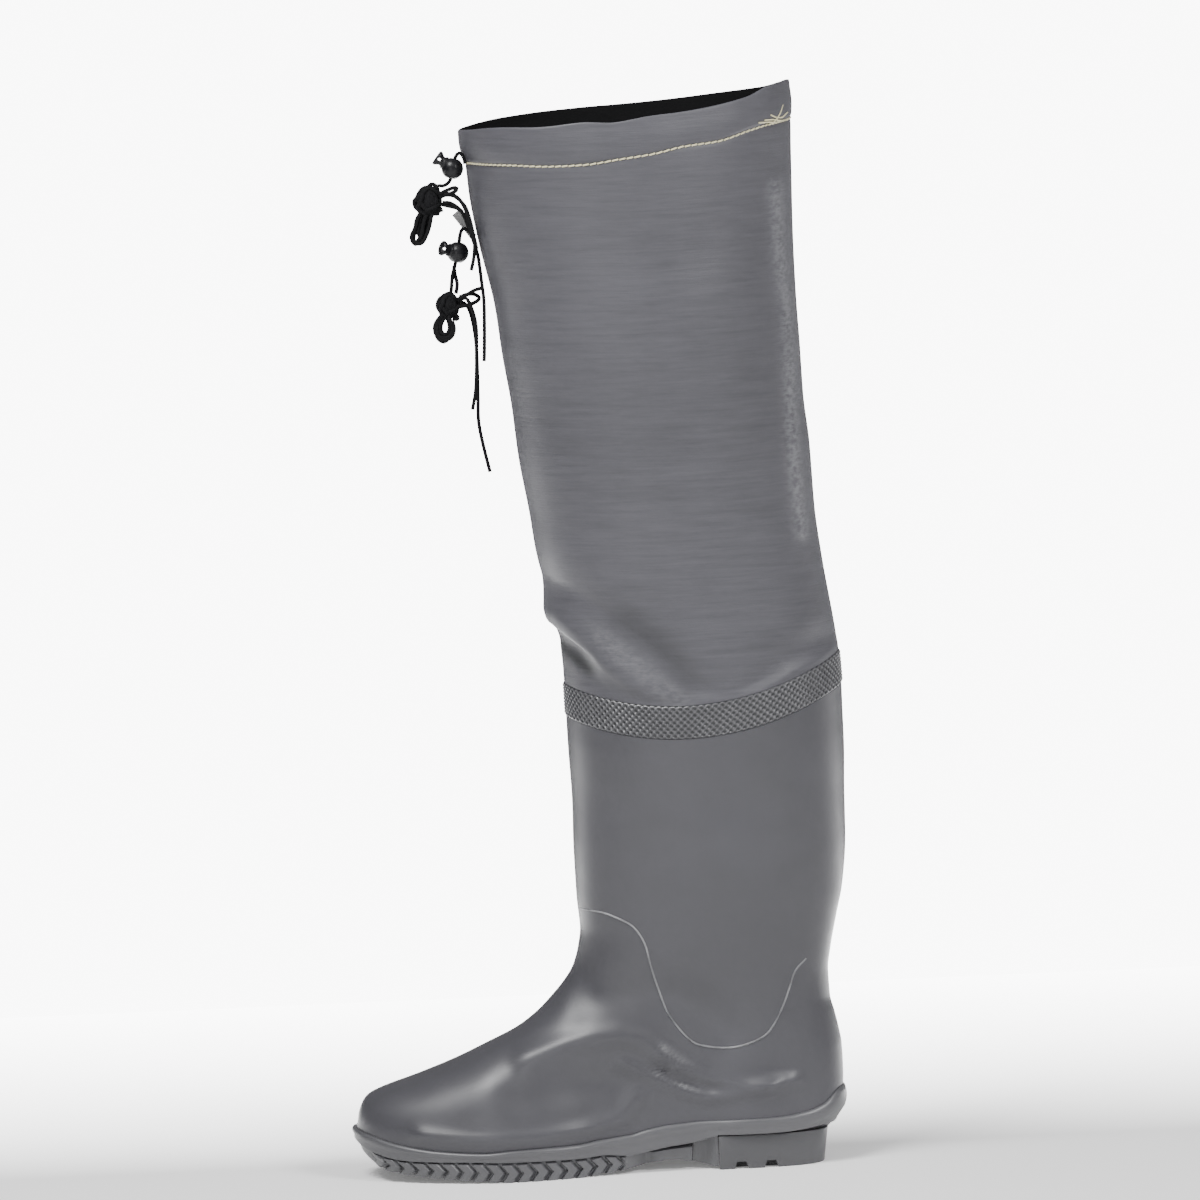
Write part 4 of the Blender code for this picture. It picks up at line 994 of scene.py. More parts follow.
def lining_finish():
    """Black knitted lining inside the boot and the shaft."""
    made, tree, shader, where = new_finish("black_lining", (0.003, 0.003, 0.0034), 0.97)
    knit = stretched_noise(tree, where, 700.0, (1.0, 1.0, 1.6), detail=2.0)
    colour_by(tree, shader, knit, (0.0015, 0.0015, 0.0018), (0.006, 0.006, 0.0065))
    shader.inputs["Specular IOR Level"].default_value = 0.2
    add_bump(tree, shader, knit, 0.5, 0.0005)
    return made


def line_finish():
    """Crest of the moulded ankle line, paler than the boot round it: a painted highlight."""
    made, tree, shader, where = new_finish("ankle_line", (0.17, 0.17, 0.18), 0.4)
    mottle = stretched_noise(tree, where, 60.0, detail=5.0)
    tone = remap(tree, mottle, 0.35, 0.65, 0.0, 1.0)
    # Painted highlight along the line, mottled by noise.
    colour_by(tree, shader, tone, (0.085, 0.085, 0.092), (0.22, 0.22, 0.23))
    return made


def plastic_finish():
    """Black moulded plastic of the cord locks, with rubbed high spots."""
    made, tree, shader, where = new_finish("black_plastic", (0.012, 0.012, 0.013), 0.35)
    wear = stretched_noise(tree, where, 420.0, detail=5.0)
    tree.links.new(remap(tree, wear, 0.35, 0.7, 0.28, 0.52), shader.inputs["Roughness"])
    colour_by(tree, shader, wear, (0.003, 0.003, 0.004), (0.010, 0.010, 0.012))
    shader.inputs["Specular IOR Level"].default_value = 0.3
    add_bump(tree, shader, wear, 0.15, 0.0002)
    return made


def cord_finish():
    """Black braided cord: small diagonal strands and a matt, slightly fuzzy face."""
    made, tree, shader, where = new_finish("black_cord", (0.004, 0.004, 0.0045), 0.95)
    braid = stretched_noise(tree, where, 1300.0, (1.0, 1.0, 0.6), detail=1.0)
    colour_by(tree, shader, braid, (0.002, 0.002, 0.0025), (0.011, 0.011, 0.012))
    shader.inputs["Specular IOR Level"].default_value = 0.15
    add_bump(tree, shader, braid, 0.9, 0.0004)
    return made


def thread_finish():
    """Pale yellow sewing thread with a twist."""
    made, tree, shader, where = new_finish("pale_thread", (0.62, 0.56, 0.34), 0.6)
    twist = stretched_noise(tree, where, 2600.0, detail=1.0)
    colour_by(tree, shader, twist, (0.46, 0.41, 0.22), (0.78, 0.73, 0.52))
    add_bump(tree, shader, twist, 0.5, 0.0002)
    return made


def tape_finish():
    """Light grey woven tape of the small tab."""
    made, tree, shader, where = new_finish("grey_tape", (0.27, 0.27, 0.27), 0.8)
    weave = stretched_noise(tree, where, 900.0, (1.0, 1.0, 1.8), detail=2.0)
    colour_by(tree, shader, weave, (0.19, 0.19, 0.19), (0.36, 0.36, 0.36))
    add_bump(tree, shader, weave, 0.6, 0.0004)
    return made


def felt_finish():
    """Black felt of the insole."""
    made, tree, shader, where = new_finish("felt", (0.014, 0.014, 0.014), 0.97)
    fibres = stretched_noise(tree, where, 500.0, detail=6.0, roughness=0.7)
    colour_by(tree, shader, fibres, (0.006, 0.006, 0.006), (0.03, 0.03, 0.03))
    shader.inputs["Sheen Weight"].default_value = 0.4
    add_bump(tree, shader, fibres, 0.6, 0.0008)
    return made


def make_boot(skin, lining):
    """The moulded upper with its creases."""
    turn = np.linspace(0, math.pi, BOOT_POINTS)
    tips = np.unique(np.concatenate([np.linspace(*section) for section in FOOT_SECTIONS]))
    rings = [edge_ring(UPPER_INSET, turn)]
    for tip in tips:
        rings.append(foot_ring(tip * ANKLE_HEIGHT, 1 - fade(tip, *SOLE_TO_LEVEL), turn))
    top = band_line(turn) - BAND_TALL / 2 - GAP
    for share in np.linspace(0, 1, CALF_LEVELS):
        rings.append(leg_ring(ANKLE_HEIGHT + share * (top - ANKLE_HEIGHT), turn))
    plain = np.array([closed_ring(*ring) for ring in rings])
    normals = inward(plain)
    lift = relief(plain, BOOT_RELIEF) + swell(plain, *BOOT_SWELL)
    share = np.ones(len(plain))
    share[:7] = np.linspace(0, 1, 7)
    share[-6:] = np.linspace(1, 0, 6)
    outer = plain - normals * (lift * share[:, None])[..., None]
    inner = outer + normals * BOOT_WALL
    inner[0] = closed_ring(*edge_ring(UPPER_INSET + BOOT_WALL, turn))
    boot = add_wall("moulded_boot", outer, inner, [skin, lining])
    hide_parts("upper")
    return boot


def make_band(skin, lining):
    """The welded band with its crossed grooves."""
    turn = np.linspace(0, math.pi, BAND_POINTS)
    shares = np.concatenate([[-1.0, -0.97, -0.94], np.linspace(-0.9, 0.9, 41), [0.94, 0.97, 1.0]])
    rings = [closed_ring(*leg_ring(band_line(turn) + s * BAND_TALL / 2, turn)) for s in shares]
    plain = np.array(rings)
    steps = np.linalg.norm(np.roll(plain, -1, axis=1) - plain, axis=2)
    run = np.cumsum(steps, axis=1)
    girth = run[:, -1:]
    run = run / girth * round(float(girth.mean()) / KNURL_PITCH) * KNURL_PITCH
    up = shares[:, None] * BAND_TALL / 2
    net = np.zeros(run.shape)
    for slant, strength in WIRE_STRENGTHS:
        away = 2 * np.abs((run / KNURL_PITCH + slant * up / KNURL_TALL) % 1 - 0.5)
        net += strength * (1 - fade(away, *WIRE_EDGE))
    net = np.clip(net, 0, 1)
    edge = ease((1 - np.abs(shares)) / BAND_EDGE)
    rise = (BAND_RISE - 0.6 * KNURL_RISE + KNURL_RISE * net) * edge[:, None]
    normals = inward(plain)
    outer = plain - normals * rise[..., None]
    band = add_wall("welded_band", outer, plain + normals * BOOT_WALL, [skin, lining])
    add_values(band, "net", net)
    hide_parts("join_band")
    return band


def leg_loop(outer_z, inner_z, turn):
    """One section of the leg that has its own heights on the outer and on the inner side."""
    outer = closed_ring(*leg_ring(outer_z, turn))[: len(turn)]
    inner = closed_ring(*leg_ring(inner_z, turn))[len(turn) :]
    return np.concatenate([outer, inner])


def hem_line(turn):
    """Height of the hem's stitching line."""
    places, heights, _, _ = np.array(HEM_ROWS).T
    return smooth(places, heights, turn)


def rim_lines(turn):
    """Heights of the uneven rim on the outer and on the inner side."""
    places, _, outer, inner = np.array(HEM_ROWS).T
    return [rim_line(turn) + smooth(places, lift, turn) for lift in (outer, inner)]


def make_shaft(skin, lining):
    """The coated fabric shaft with its folds, sewn hem and turned rim."""
    turn = np.linspace(0, math.pi, SHAFT_POINTS)
    bottom = band_line(turn) + BAND_TALL / 2 + GAP
    hem = hem_line(turn)
    rims = rim_lines(turn)
    rings, rises = [], []
    for share in np.linspace(0, 1, SHAFT_LEVELS) ** SHAFT_CROWDING:
        level = bottom + share * (hem - 0.004 - bottom)
        rings.append(leg_loop(level, level, turn))
        rises.append(0.0)
    for up, rise in HEM_GROOVE_ROWS:
        rings.append(leg_loop(hem + up, hem + up, turn))
        rises.append(rise)
    base = hem + HEM_GROOVE_ROWS[-1][0]
    for share, rise in HEM_FACE_ROWS:
        rings.append(leg_loop(*[base + share * (rim - base) for rim in rims], turn))
        rises.append(rise * HEM_RISE)
    plain = np.array(rings)
    low, high = plain[0, :, 2], plain[-1, :, 2]
    up = (plain[..., 2] - low) / (high - low)
    normals = inward(plain)
    lift = (relief(plain, SHAFT_RELIEF) + lapped_fold(plain)) * fade(up, *SHAFT_RELIEF_FADE)
    lift += swell(plain, *SHAFT_SWELL) * fade(up, *SHAFT_SWELL_FADE)
    lift += swell(plain[..., ::-1], *HEM_SWELL) * fade(up, *HEM_SWELL_FADE)
    middle = plain - normals * lift[..., None]
    outer = middle - normals * np.array(rises)[:, None, None]
    inner = middle + normals * SHAFT_WALL
    inner[-1] = middle[-1] + normals[-1] * SHAFT_WALL * 0.9
    shaft = add_wall("fabric_shaft", outer, inner, [skin, lining])
    # Masks for the painted highlight down the back ridge and over the fold's crest, and for the painted
    # shade of the fold.
    highlight_mask = relief(outer, (SEAM_RIDGE,)) / SEAM_RIDGE[1]
    add_values(shaft, "highlight_mask", np.clip(highlight_mask + relief(outer, FOLD_GLOW), 0, 1))
    add_values(shaft, "shade", relief(outer, FOLD_SHADE))
    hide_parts("shaft")
    return shaft


def tread_height(along, low_edge):
    """1 on a lug or rib, 0 in a groove, at shares along the sole."""
    pitch = LUG_PITCH / FOOT_LENGTH
    phase = ((along - LUGS[0]) / pitch) % 1
    flat = LUG_FLAT / LUG_PITCH
    soft = LUG_SOFTNESS
    lug = ease(phase / soft) * ease((flat + 2 * soft - phase) / soft)
    return lug * between(along, *LUGS) if low_edge else lug


def squared(along, inset):
    """Shares along a drawn-in line, moved so that the waist ends square against the heel block."""
    end = (HEEL_FRONT * FOOT_LENGTH - GAP - inset) / (FOOT_LENGTH - 2 * inset)
    near = ease((along - HEEL_FRONT + 0.04) / 0.04) * ease((HEEL_FRONT + 0.03 - along) / 0.03)
    return along + (end - HEEL_FRONT) * near


def make_sole(skin):
    """The outsole with its rounded rand, chevron ribs, arch, heel lip and tread."""
    start, end = FINE_ROWS
    toe = (1 - np.cos(np.linspace(0, 2 * math.asin(math.sqrt(start)), 40))) / 2
    heel = (1 - np.cos(np.linspace(2 * math.asin(math.sqrt(end)), math.pi, 110))) / 2
    step = (HEEL_FRONT, HEEL_FRONT + STEP_LENGTH)
    along = np.sort(np.concatenate([toe[:-1], np.linspace(start, end, 460)[:-1], heel, step]))
    tread, foot = sole_line("tread", along), sole_line("foot", along)
    top, bed = sole_line("top", along), sole_line("bed", along)
    arch = ARCH_INSET * between(along, *ARCH)
    shank = WAIST_LEDGE * between(along, *SHANK)
    window = between(along, *RIBS)
    tuck = HEEL_TUCK * fade(along, *TUCK)
    low = RAND_BULGE + STEP_DEPTH
    rings = [
        sole_ring(along, BED_INSET, bed),
        sole_ring(along, LEDGE_WIDTH, top),
    ]
    for inset, drop in RAND_ROWS:
        inward_tuck = tuck * ease((drop - 0.50) / 0.50)
        rings.append(sole_ring(along, inset * RAND_BULGE + inward_tuck, top - drop * (top - foot)))
    under = low * 0.9 + arch + tuck
    rings.append(sole_ring(squared(along, under), under, foot - 0.02 * (foot - tread)))
    for level in np.linspace(1, 0, 17):
        bent = RIB_BEND * (1 - abs(2 * level - 1)) / FOOT_LENGTH
        rib = RIB_SHOW * tread_height(along - bent, False) * window * ease((1.0 - level) / 0.07)
        slope = SIDE_SLOPE * (1 - level)
        z = tread + level * 0.94 * (foot - tread)
        ledge = shank * ease((0.90 - level) / 0.12)
        side = low + slope + arch - ledge + tuck - rib
        rings.append(sole_ring(squared(along, side), side, z))
    groove = LUG_DEPTH * (1 - tread_height(along, True)) * window
    rib = RIB_SHOW * tread_height(along, False) * window
    edge = low + SIDE_SLOPE + arch - shank + tuck - rib
    for turn_in, up in ((0.0006, 0.0001 + 0.5 * groove), (0.0016, groove)):
        rings.append(sole_ring(squared(along, edge + turn_in), edge + turn_in, tread + up))
    around = len(rings[0])
    faces = ring_faces(len(rings), around)
    faces += strip_cap(0, around, flip=True) + strip_cap((len(rings) - 1) * around, around, flip=False)
    sole = add_mesh("outsole", np.concatenate(rings), faces, [skin], sharp=50)
    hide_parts("sole")
    return sole


def sole_ring(along, inset, z):
    """One line round the sole."""
    x, half, centre = outline(along, inset)
    return closed_ring(x, centre, half, z)


def heel_loop(length, width, z):
    """The heel block's outline: hollow breast in front, round at the back."""
    start = HEEL_BLOCK_X
    along, across = HEEL_ROUNDNESS
    turns = np.linspace(0, math.pi / 2, 40)
    side = [(start + length * math.sin(t) ** along, width / 2 * math.cos(t) ** across) for t in turns[:-1]]
    outer = [(x, -y, z) for x, y in side] + [(start + length, 0, z)]
    inner = [(x, y, z) for x, y in reversed(side)]
    breast = []
    for share in np.linspace(BREAST_SPAN, -BREAST_SPAN, 24):
        breast.append((start + BREAST_HOLLOW * (1 - share**2), share * width / 2, z))
    return outer + inner + breast


def make_heel(skin):
    """The heel block with its notches and softened edges."""
    rows = ((0.0, HEEL_RAKE, 0.0), (0.5, 0.5 * HEEL_RAKE, 0.4 * HEEL_RAKE), (1.0, 0.0, 0.6 * HEEL_RAKE))
    loops = []
    for share, shorter, wider in rows:
        length, width = HEEL_BLOCK_LENGTH - shorter, HEEL_BLOCK_WIDTH + wider
        loops.append(heel_loop(length, width, share * (HEEL_HEIGHT - GAP)))
    around = len(loops[0])
    points = [point for loop in loops for point in loop]
    faces = ring_faces(len(loops), around)
    faces += [tuple(reversed(range(around))), tuple(range(2 * around, 3 * around))]
    heel = add_mesh("heel_block", points, faces, [skin], sharp=30)
    cutters = []
    for share in NOTCH_PLACES:
        for side in (-1, 1):
            cutters.append(notch_cutter(HEEL_BLOCK_X + share * HEEL_BLOCK_LENGTH, side))
    for cutter in cutters:
        cut(heel, cutter)
    soften = heel.modifiers.new("soften", "BEVEL")
    soften.width = EDGE_BEVEL
    soften.segments = 2
    soften.limit_method = "ANGLE"
    soften.angle_limit = math.radians(35)
    bake_modifiers(heel)
    heel.data.shade_smooth()
    heel.data.set_sharp_from_angle(angle=math.radians(40))
    for cutter in cutters:
        bpy.data.objects.remove(cutter)
    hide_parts("heel")
    return heel


def notch_cutter(middle, side):
    """A trapezoid bar that cuts a notch into one side of the heel's tread."""
    near, far = HEEL_BLOCK_WIDTH / 2 - NOTCH_DEPTH, HEEL_BLOCK_WIDTH / 2 + NOTCH_DEPTH
    points = []
    for y in (side * near, side * far):
        for half, z in ((NOTCH_WIDTH / 2, -0.002), (NOTCH_TOP_WIDTH / 2, NOTCH_HEIGHT)):
            points += [(middle - half, y, z), (middle + half, y, z)]
    faces = [(0, 1, 3, 2), (4, 6, 7, 5), (0, 4, 5, 1), (2, 3, 7, 6), (0, 2, 6, 4), (1, 5, 7, 3)]
    return add_mesh("notch_cutter", points, faces, [])


def cut(obj, cutter):
    """Sets up a cut of one piece's form out of another."""
    modifier = obj.modifiers.new("cut", "BOOLEAN")
    modifier.operation = "DIFFERENCE"
    modifier.object = cutter


def bake_modifiers(obj):
    """Puts the result of an object's modifiers into its own mesh."""
    graph = bpy.context.evaluated_depsgraph_get()
    made = bpy.data.meshes.new_from_object(obj.evaluated_get(graph))
    obj.modifiers.clear()
    obj.data = made


def sheet_faces(rows, columns, start=0):
    """Quads between neighbouring rows of points."""
    faces = []
    for r in range(rows - 1):
        for c in range(columns - 1):
            a = start + r * columns + c
            faces.append((a, a + 1, a + columns + 1, a + columns))
    return faces


def bead_mesh(line, normals, width, rise):
    """Points and faces of a low half-round bead along a line that lies on a surface."""
    section = ((-1, -0.5), (-0.7, 0.35), (-0.3, 0.9), (0.3, 0.9), (0.7, 0.35), (1, -0.5))
    points = []
    for i, (place, normal) in enumerate(zip(line, normals)):
        way = line[min(i + 1, len(line) - 1)] - line[max(i - 1, 0)]
        side = way.cross(normal).normalized()
        taper = min(1.0, 0.25 + min(i, len(line) - 1 - i) / 8)
        for across, up in section:
            points.append(place + side * across * width / 2 + normal * up * rise * taper)
    return points, sheet_faces(len(line), len(section))


def make_ankle_line(boot, skin):
    """The raised moulded line round the ankle on both sides of the boot."""
    tree = BVHTree.FromPolygons(
        [v.co.copy() for v in boot.data.vertices], [tuple(p.vertices) for p in boot.data.polygons]
    )
    fine = smooth_route([Vector((x, 0, z)) for x, z in ANKLE_LINE], CORD_STEP)
    beads = []
    for side in (-1, 1):
        line, normals = [], []
        for x, _, z in fine:
            hit, normal, _, _ = tree.ray_cast(Vector((x, side * 0.2, z)), Vector((0, -side, 0)))
            if hit is not None:
                line.append(hit)
                normals.append(normal if normal.y * side > 0 else -normal)
        beads.append(bead_mesh(line, normals, ANKLE_LINE_WIDTH, ANKLE_LINE_RISE))
    return join_pieces("ankle_line", beads, skin, sharp=180)


def tube_points(line, radius, sides, squash=1.0):
    """Points and faces of a closed round tube along a line."""
    points, faces = [], []
    up = Vector((0.31, 0.87, 0.39)).normalized()
    for i, place in enumerate(line):
        way = (line[min(i + 1, len(line) - 1)] - line[max(i - 1, 0)]).normalized()
        side = way.cross(up).normalized()
        up = side.cross(way).normalized()
        for s in range(sides):
            turn = 2 * math.pi * s / sides
            points.append(place + (side * math.cos(turn) + up * math.sin(turn) * squash) * radius)
    for r in range(len(line) - 1):
        for s in range(sides):
            a, b = r * sides + s, r * sides + (s + 1) % sides
            faces.append((a, b, b + sides, a + sides))
    faces.append(tuple(reversed(range(sides))))
    faces.append(tuple(range((len(line) - 1) * sides, len(line) * sides)))
    return points, faces


def join_pieces(name, pieces, finish, sharp=60):
    """Several sets of points and faces as one piece."""
    points, faces = [], []
    for more, quads in pieces:
        faces += [tuple(i + len(points) for i in quad) for quad in quads]
        points += more
    return add_mesh(name, points, faces, [finish], sharp=sharp)


def hem_place(turn, up, proud):
    """A place near the hem's stitching at an angle round it, from 0 at the front to 2 pi."""
    side = -1 if turn <= math.pi else 1
    angle = turn if turn <= math.pi else 2 * math.pi - turn
    z = float(hem_line(angle)) + up
    x0, x1, half = float(front_x(z)), float(back_x(z)), float(leg_half(z))
    place = Vector(((x0 + x1) / 2 - (x1 - x0) / 2 * math.cos(angle), side * half * math.sin(angle), z))
    normal = Vector((-math.cos(angle) / (x1 - x0) * 2, side * math.sin(angle) / half, 0)).normalized()
    point = np.array(place)[None]
    lift = relief(point, SHAFT_RELIEF) + swell(point, *SHAFT_SWELL) + swell(point[..., ::-1], *HEM_SWELL)
    return place + normal * (float(lift[0]) + proud), normal


def make_stitches(finish):
    """One row of stitches round the hem, and the crossed thread ends at the back corner."""
    girth = math.pi * (THIGH_DEPTH + THIGH_WIDTH) / 2
    count = round(girth / STITCH_STEP)
    tubes = []
    for n in range(count):
        middle = 2 * math.pi * (n + 0.5) / count
        half = math.pi * STITCH_LENGTH / girth
        line = []
        for t in (-1, -0.6, 0, 0.6, 1):
            proud = 0.00045 * (1 - t * t) - 0.00055
            slant = 0.0002 * t
            line.append(hem_place((middle + t * half) % (2 * math.pi), slant, proud)[0])
        tubes.append(tube_points(line, THREAD_WIDTH / 2, 8))
    for end in THREAD_ENDS:
        line = [hem_place(turn, up, 0.0010)[0] for turn, up in end]
        fine = [Vector(p) for p in smooth_route(line, STRAND_STEP)]
        tubes.append(tube_points(fine, THREAD_WIDTH / 2 * 0.85, 8))
    return join_pieces("hem_stitching", tubes, finish)


def turned_mesh(name, profile, steps, finish, closed=False, squash=1.0):
    """A turned piece about its own z axis from rows of radius and height."""
    points, faces = [], []
    for radius, z in profile:
        for i in range(steps):
            turn = 2 * math.pi * i / steps
            points.append((radius * math.cos(turn), radius * math.sin(turn) * squash, z))
    faces += ring_faces(len(profile), steps)
    if closed:
        last = (len(profile) - 1) * steps
        for i in range(steps):
            j = (i + 1) % steps
            faces.append((last + i, last + j, j, i))
    else:
        faces += [tuple(reversed(range(steps))), tuple(range((len(profile) - 1) * steps, len(points)))]
    return add_mesh(name, points, faces, [finish], sharp=50)


def set_along(obj, origin, way, up=(0, 1, 0)):
    """Turns a piece's own mesh so that its z axis points along a direction from an origin."""
    z = Vector(way).normalized()
    x = z.cross(Vector(up)).normalized()
    turn = Matrix((x, z.cross(x), z)).transposed().to_4x4()
    obj.data.transform(Matrix.Translation(Vector(origin)) @ turn)


def make_lock(side, finish):
    """A ball cord lock with its bore, socket collar and waisted plunger."""
    spec = LOCKS[side]
    radius, bore = BALL_DIAMETER / 2, BORE_DIAMETER / 2
    start = math.asin(bore / radius) + 0.10
    arc = [(radius * math.sin(t), -radius * math.cos(t)) for t in np.linspace(start, math.pi - start, 28)]
    depth = radius * math.cos(start)
    inside = [(bore, depth * s) for s in (0.97, 0.6, 0.0, -0.6, -0.97)]
    ball = turned_mesh(f"ball_{side}", arc + inside, 48, finish, closed=True)
    set_along(ball, spec["ball"], spec["cord_way"])
    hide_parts(f"lock_ball_{side}")
    socket, length = SOCKET_DIAMETER / 2, PLUNGER_LENGTH
    root = radius - SOCKET_DEPTH + GAP
    edge = [(socket * 0.9, root), (socket * 1.16, root + 0.0002), (socket * 1.20, root + 0.0020),
            (socket * 1.12, root + 0.0026), (socket * 0.9, root + 0.0027)]
    collar = turned_mesh(f"collar_{side}", edge, 40, finish)
    set_along(collar, spec["ball"], spec["plunger_way"])
    stem, flare = socket - GAP, PLUNGER_FLARE / 2
    profile = [(stem, root), (stem, root + 0.40 * length), (stem * 1.02, root + 0.52 * length),
               (flare * 0.86, root + 0.68 * length), (flare * 0.98, root + 0.80 * length),
               (flare, root + 0.87 * length), (flare * 0.97, root + 0.95 * length),
               (flare * 0.86, root + length)]
    plunger = turned_mesh(f"plunger_{side}", profile, 40, finish, squash=0.8)
    set_along(plunger, spec["ball"], spec["plunger_way"])
    hole = turned_mesh("hole_cutter", [(PLUNGER_HOLE / 2, z) for z in (-0.008, 0.008)], 20, finish)
    way = Vector(spec["plunger_way"]).normalized()
    set_along(hole, Vector(spec["ball"]) + way * (root + 0.70 * length), (0, 1, 0), up=way)
    cut(plunger, hole)
    bake_modifiers(plunger)
    bpy.data.objects.remove(hole)
    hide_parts(f"lock_plunger_{side}")
    return [ball, collar, plunger]


def knot_port(side, way, away):
    """The place where a cord end meets a knot, and how far away from its surface it stops."""
    spec = KNOTS[side]
    way = Vector(way).normalized()
    reach = 1 / math.sqrt(sum((w / h) ** 2 for w, h in zip(way, spec["half"])))
    return Vector(spec["centre"]) + way * (reach + away)


def cord_route(spec):
    """The listed points of a cord with its ends at the knots."""
    points = [Vector(p) for p in spec["points"]]
    if "start" in spec:
        points = [knot_port(*spec["start"], away) for away in (PORT_GAP, PORT_LEAD)] + points
    if "end" in spec:
        points += [knot_port(*spec["end"], away) for away in (PORT_LEAD, PORT_GAP)]
    return points


def smooth_route(points, spacing):
    """Points read at even spacing from a smooth curve through a route."""
    ends = [2 * points[0] - points[1]] + list(points) + [2 * points[-1] - points[-2]]
    fine = []
    for i in range(1, len(ends) - 2):
        a, b, c, d = ends[i - 1 : i + 3]
        for t in np.linspace(0, 1, 12, endpoint=False):
            fine.append(
                0.5 * (2 * b + (c - a) * t + (2 * a - 5 * b + 4 * c - d) * t**2
                       + (3 * b - a - 3 * c + d) * t**3)
            )
    fine.append(points[-1])
    lengths = np.concatenate([[0], np.cumsum([(q - p).length for p, q in zip(fine, fine[1:])])])
    count = max(4, round(lengths[-1] / spacing) + 1)
    wanted = np.linspace(0, lengths[-1], count)
    return np.stack([np.interp(wanted, lengths, [p[axis] for p in fine]) for axis in range(3)], axis=1)


def make_knot(side, finish):
    """A bundle of wound cord round a solid middle, with the folded ends and loops that show at it."""
    spec = KNOTS[side]
    centre, half = Vector(spec["centre"]), Vector(spec["half"])
    radius = CORD_DIAMETER / 2 * 1.08
    tubes = []
    core = [Vector((0, 0, h)) for h in (-0.86, -0.7, -0.35, 0, 0.35, 0.7, 0.86)]
    points, faces = tube_points(core, 1.0, 16)
    for n, point in enumerate(points):
        level = core[n // 16].z
        width = math.sqrt(1 - level**2) * 0.84
        flat = Vector((point.x * width, point.y * width, level))
        points[n] = centre + Vector([a * h * 0.9 for a, h in zip(flat, half)])
    tubes.append((points, faces))
    for n in range(KNOT_TURNS):
        spin, tilt = 2.4 * n, 0.9 * math.sin(1.9 * n + 0.5)
        size = 1.0 - 0.10 * (n % 3)
        ring = []
        for t in np.linspace(0, 2 * math.pi * 0.94, 34):
            flat = Vector((math.cos(t), 0.42 * math.sin(2 * t + spin), math.sin(t)))
            spun = Matrix.Rotation(spin, 3, "Y") @ Matrix.Rotation(tilt, 3, "X") @ flat.normalized()
            ring.append(centre + Vector([a * size * (h - 0.6 * radius) for a, h in zip(spun, half)]))
        tubes.append(tube_points(ring, radius, 8))
    for strand in KNOT_STRANDS[side]:
        places = [centre + Vector(place) / 1000 for place in strand]
        fine = [Vector(p) for p in smooth_route(places, STRAND_STEP)]
        tubes.append(tube_points(fine, radius, 10))
    knot = join_pieces(f"knot_bundle_{side}", tubes, finish)
    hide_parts(f"knot_{side}")
    return knot


def make_cord(name, spec, finish):
    """A free cord along its route."""
    points = smooth_route(cord_route(spec), CORD_STEP)
    curve = bpy.data.curves.new(f"{name}_cord", "CURVE")
    curve.dimensions = "3D"
    curve.bevel_depth = CORD_DIAMETER / 2
    curve.bevel_resolution = 4
    curve.use_fill_caps = True
    spline = curve.splines.new("POLY")
    spline.points.add(len(points) - 1)
    for place, point in zip(spline.points, points):
        place.co = (*point, 1)
    curve.materials.append(finish)
    obj = bpy.data.objects.new(f"{name}_cord", curve)
    bpy.context.scene.collection.objects.link(obj)
    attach(obj, "root")
    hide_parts(name)
    return obj


def make_tab(finish):
    """The small tape tab, folded over and sewn to the front of the shaft."""
    low, high = TAB_HEIGHT - 0.55 * TAB_WIDTH, TAB_HEIGHT + 0.55 * TAB_WIDTH
    clear = GAP + 0.0002
    root_low = Vector((float(front_x(low)) - clear, 0, low))
    root_high = Vector((float(front_x(high)) - clear, 0, high))
    way = Vector((-0.58, 0, 0.815)).normalized()
    tip_low = root_low + way * TAB_LENGTH
    tip_high = tip_low + Vector((0.75 * TAB_WIDTH, 0, 0.6 * TAB_WIDTH))
    rows, columns = 16, 7
    points, faces = [], []
    for sheet in (-1, 1):
        for r in range(rows):
            t = r / (rows - 1)
            for c in range(columns):
                s = c / (columns - 1)
                root, tip = root_low * (1 - s) + root_high * s, tip_low * (1 - s) + tip_high * s
                place = root * (1 - t) + tip * t
                rim = min(1.0, 4 * min(s, 1 - s) + 0.25, 6 * (1 - t) + 0.25)
                curl = 0.0008 * math.sin(2.4 * t + 0.5)
                points.append(place + Vector((0, curl + sheet * TAB_THICKNESS / 2 * rim, 0)))
    shift = rows * columns
    for start in (0, shift):
        faces += sheet_faces(rows, columns, start)
    loop = list(range(columns)) + [r * columns + columns - 1 for r in range(1, rows)]
    loop += [(rows - 1) * columns + c for c in range(columns - 2, -1, -1)]
    loop += [r * columns for r in range(rows - 2, 0, -1)]
    for a, b in zip(loop, loop[1:] + loop[:1]):
        faces.append((a, b, b + shift, a + shift))
    tab = add_mesh("tape_tab", points, faces, [finish], sharp=60)
    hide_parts("tab")
    return tab


def make_camera():
    """A long lens at the photograph's height and roll, on the one boot."""
    data = bpy.data.cameras.new("camera")
    data.sensor_width = SENSOR_WIDTH
    data.lens = SENSOR_WIDTH * VIEW_DISTANCE / VIEW_WIDTH
    data.clip_end = 60
    camera = bpy.data.objects.new("camera", data)
    rise = math.radians(VIEW_ELEVATION)
    back = Vector((0, -math.cos(rise), math.sin(rise)))
    aim = Vector(VIEW_CENTRE)
    roll = Matrix.Rotation(math.radians(VIEW_ROLL), 3, back)
    up = roll @ Vector((0, math.sin(rise), math.cos(rise)))
    right = up.cross(back)
    turn = Matrix((right, up, back)).transposed().to_4x4()
    camera.matrix_world = Matrix.Translation(aim + back * VIEW_DISTANCE) @ turn
    bpy.context.scene.collection.objects.link(camera)
    bpy.context.scene.camera = camera


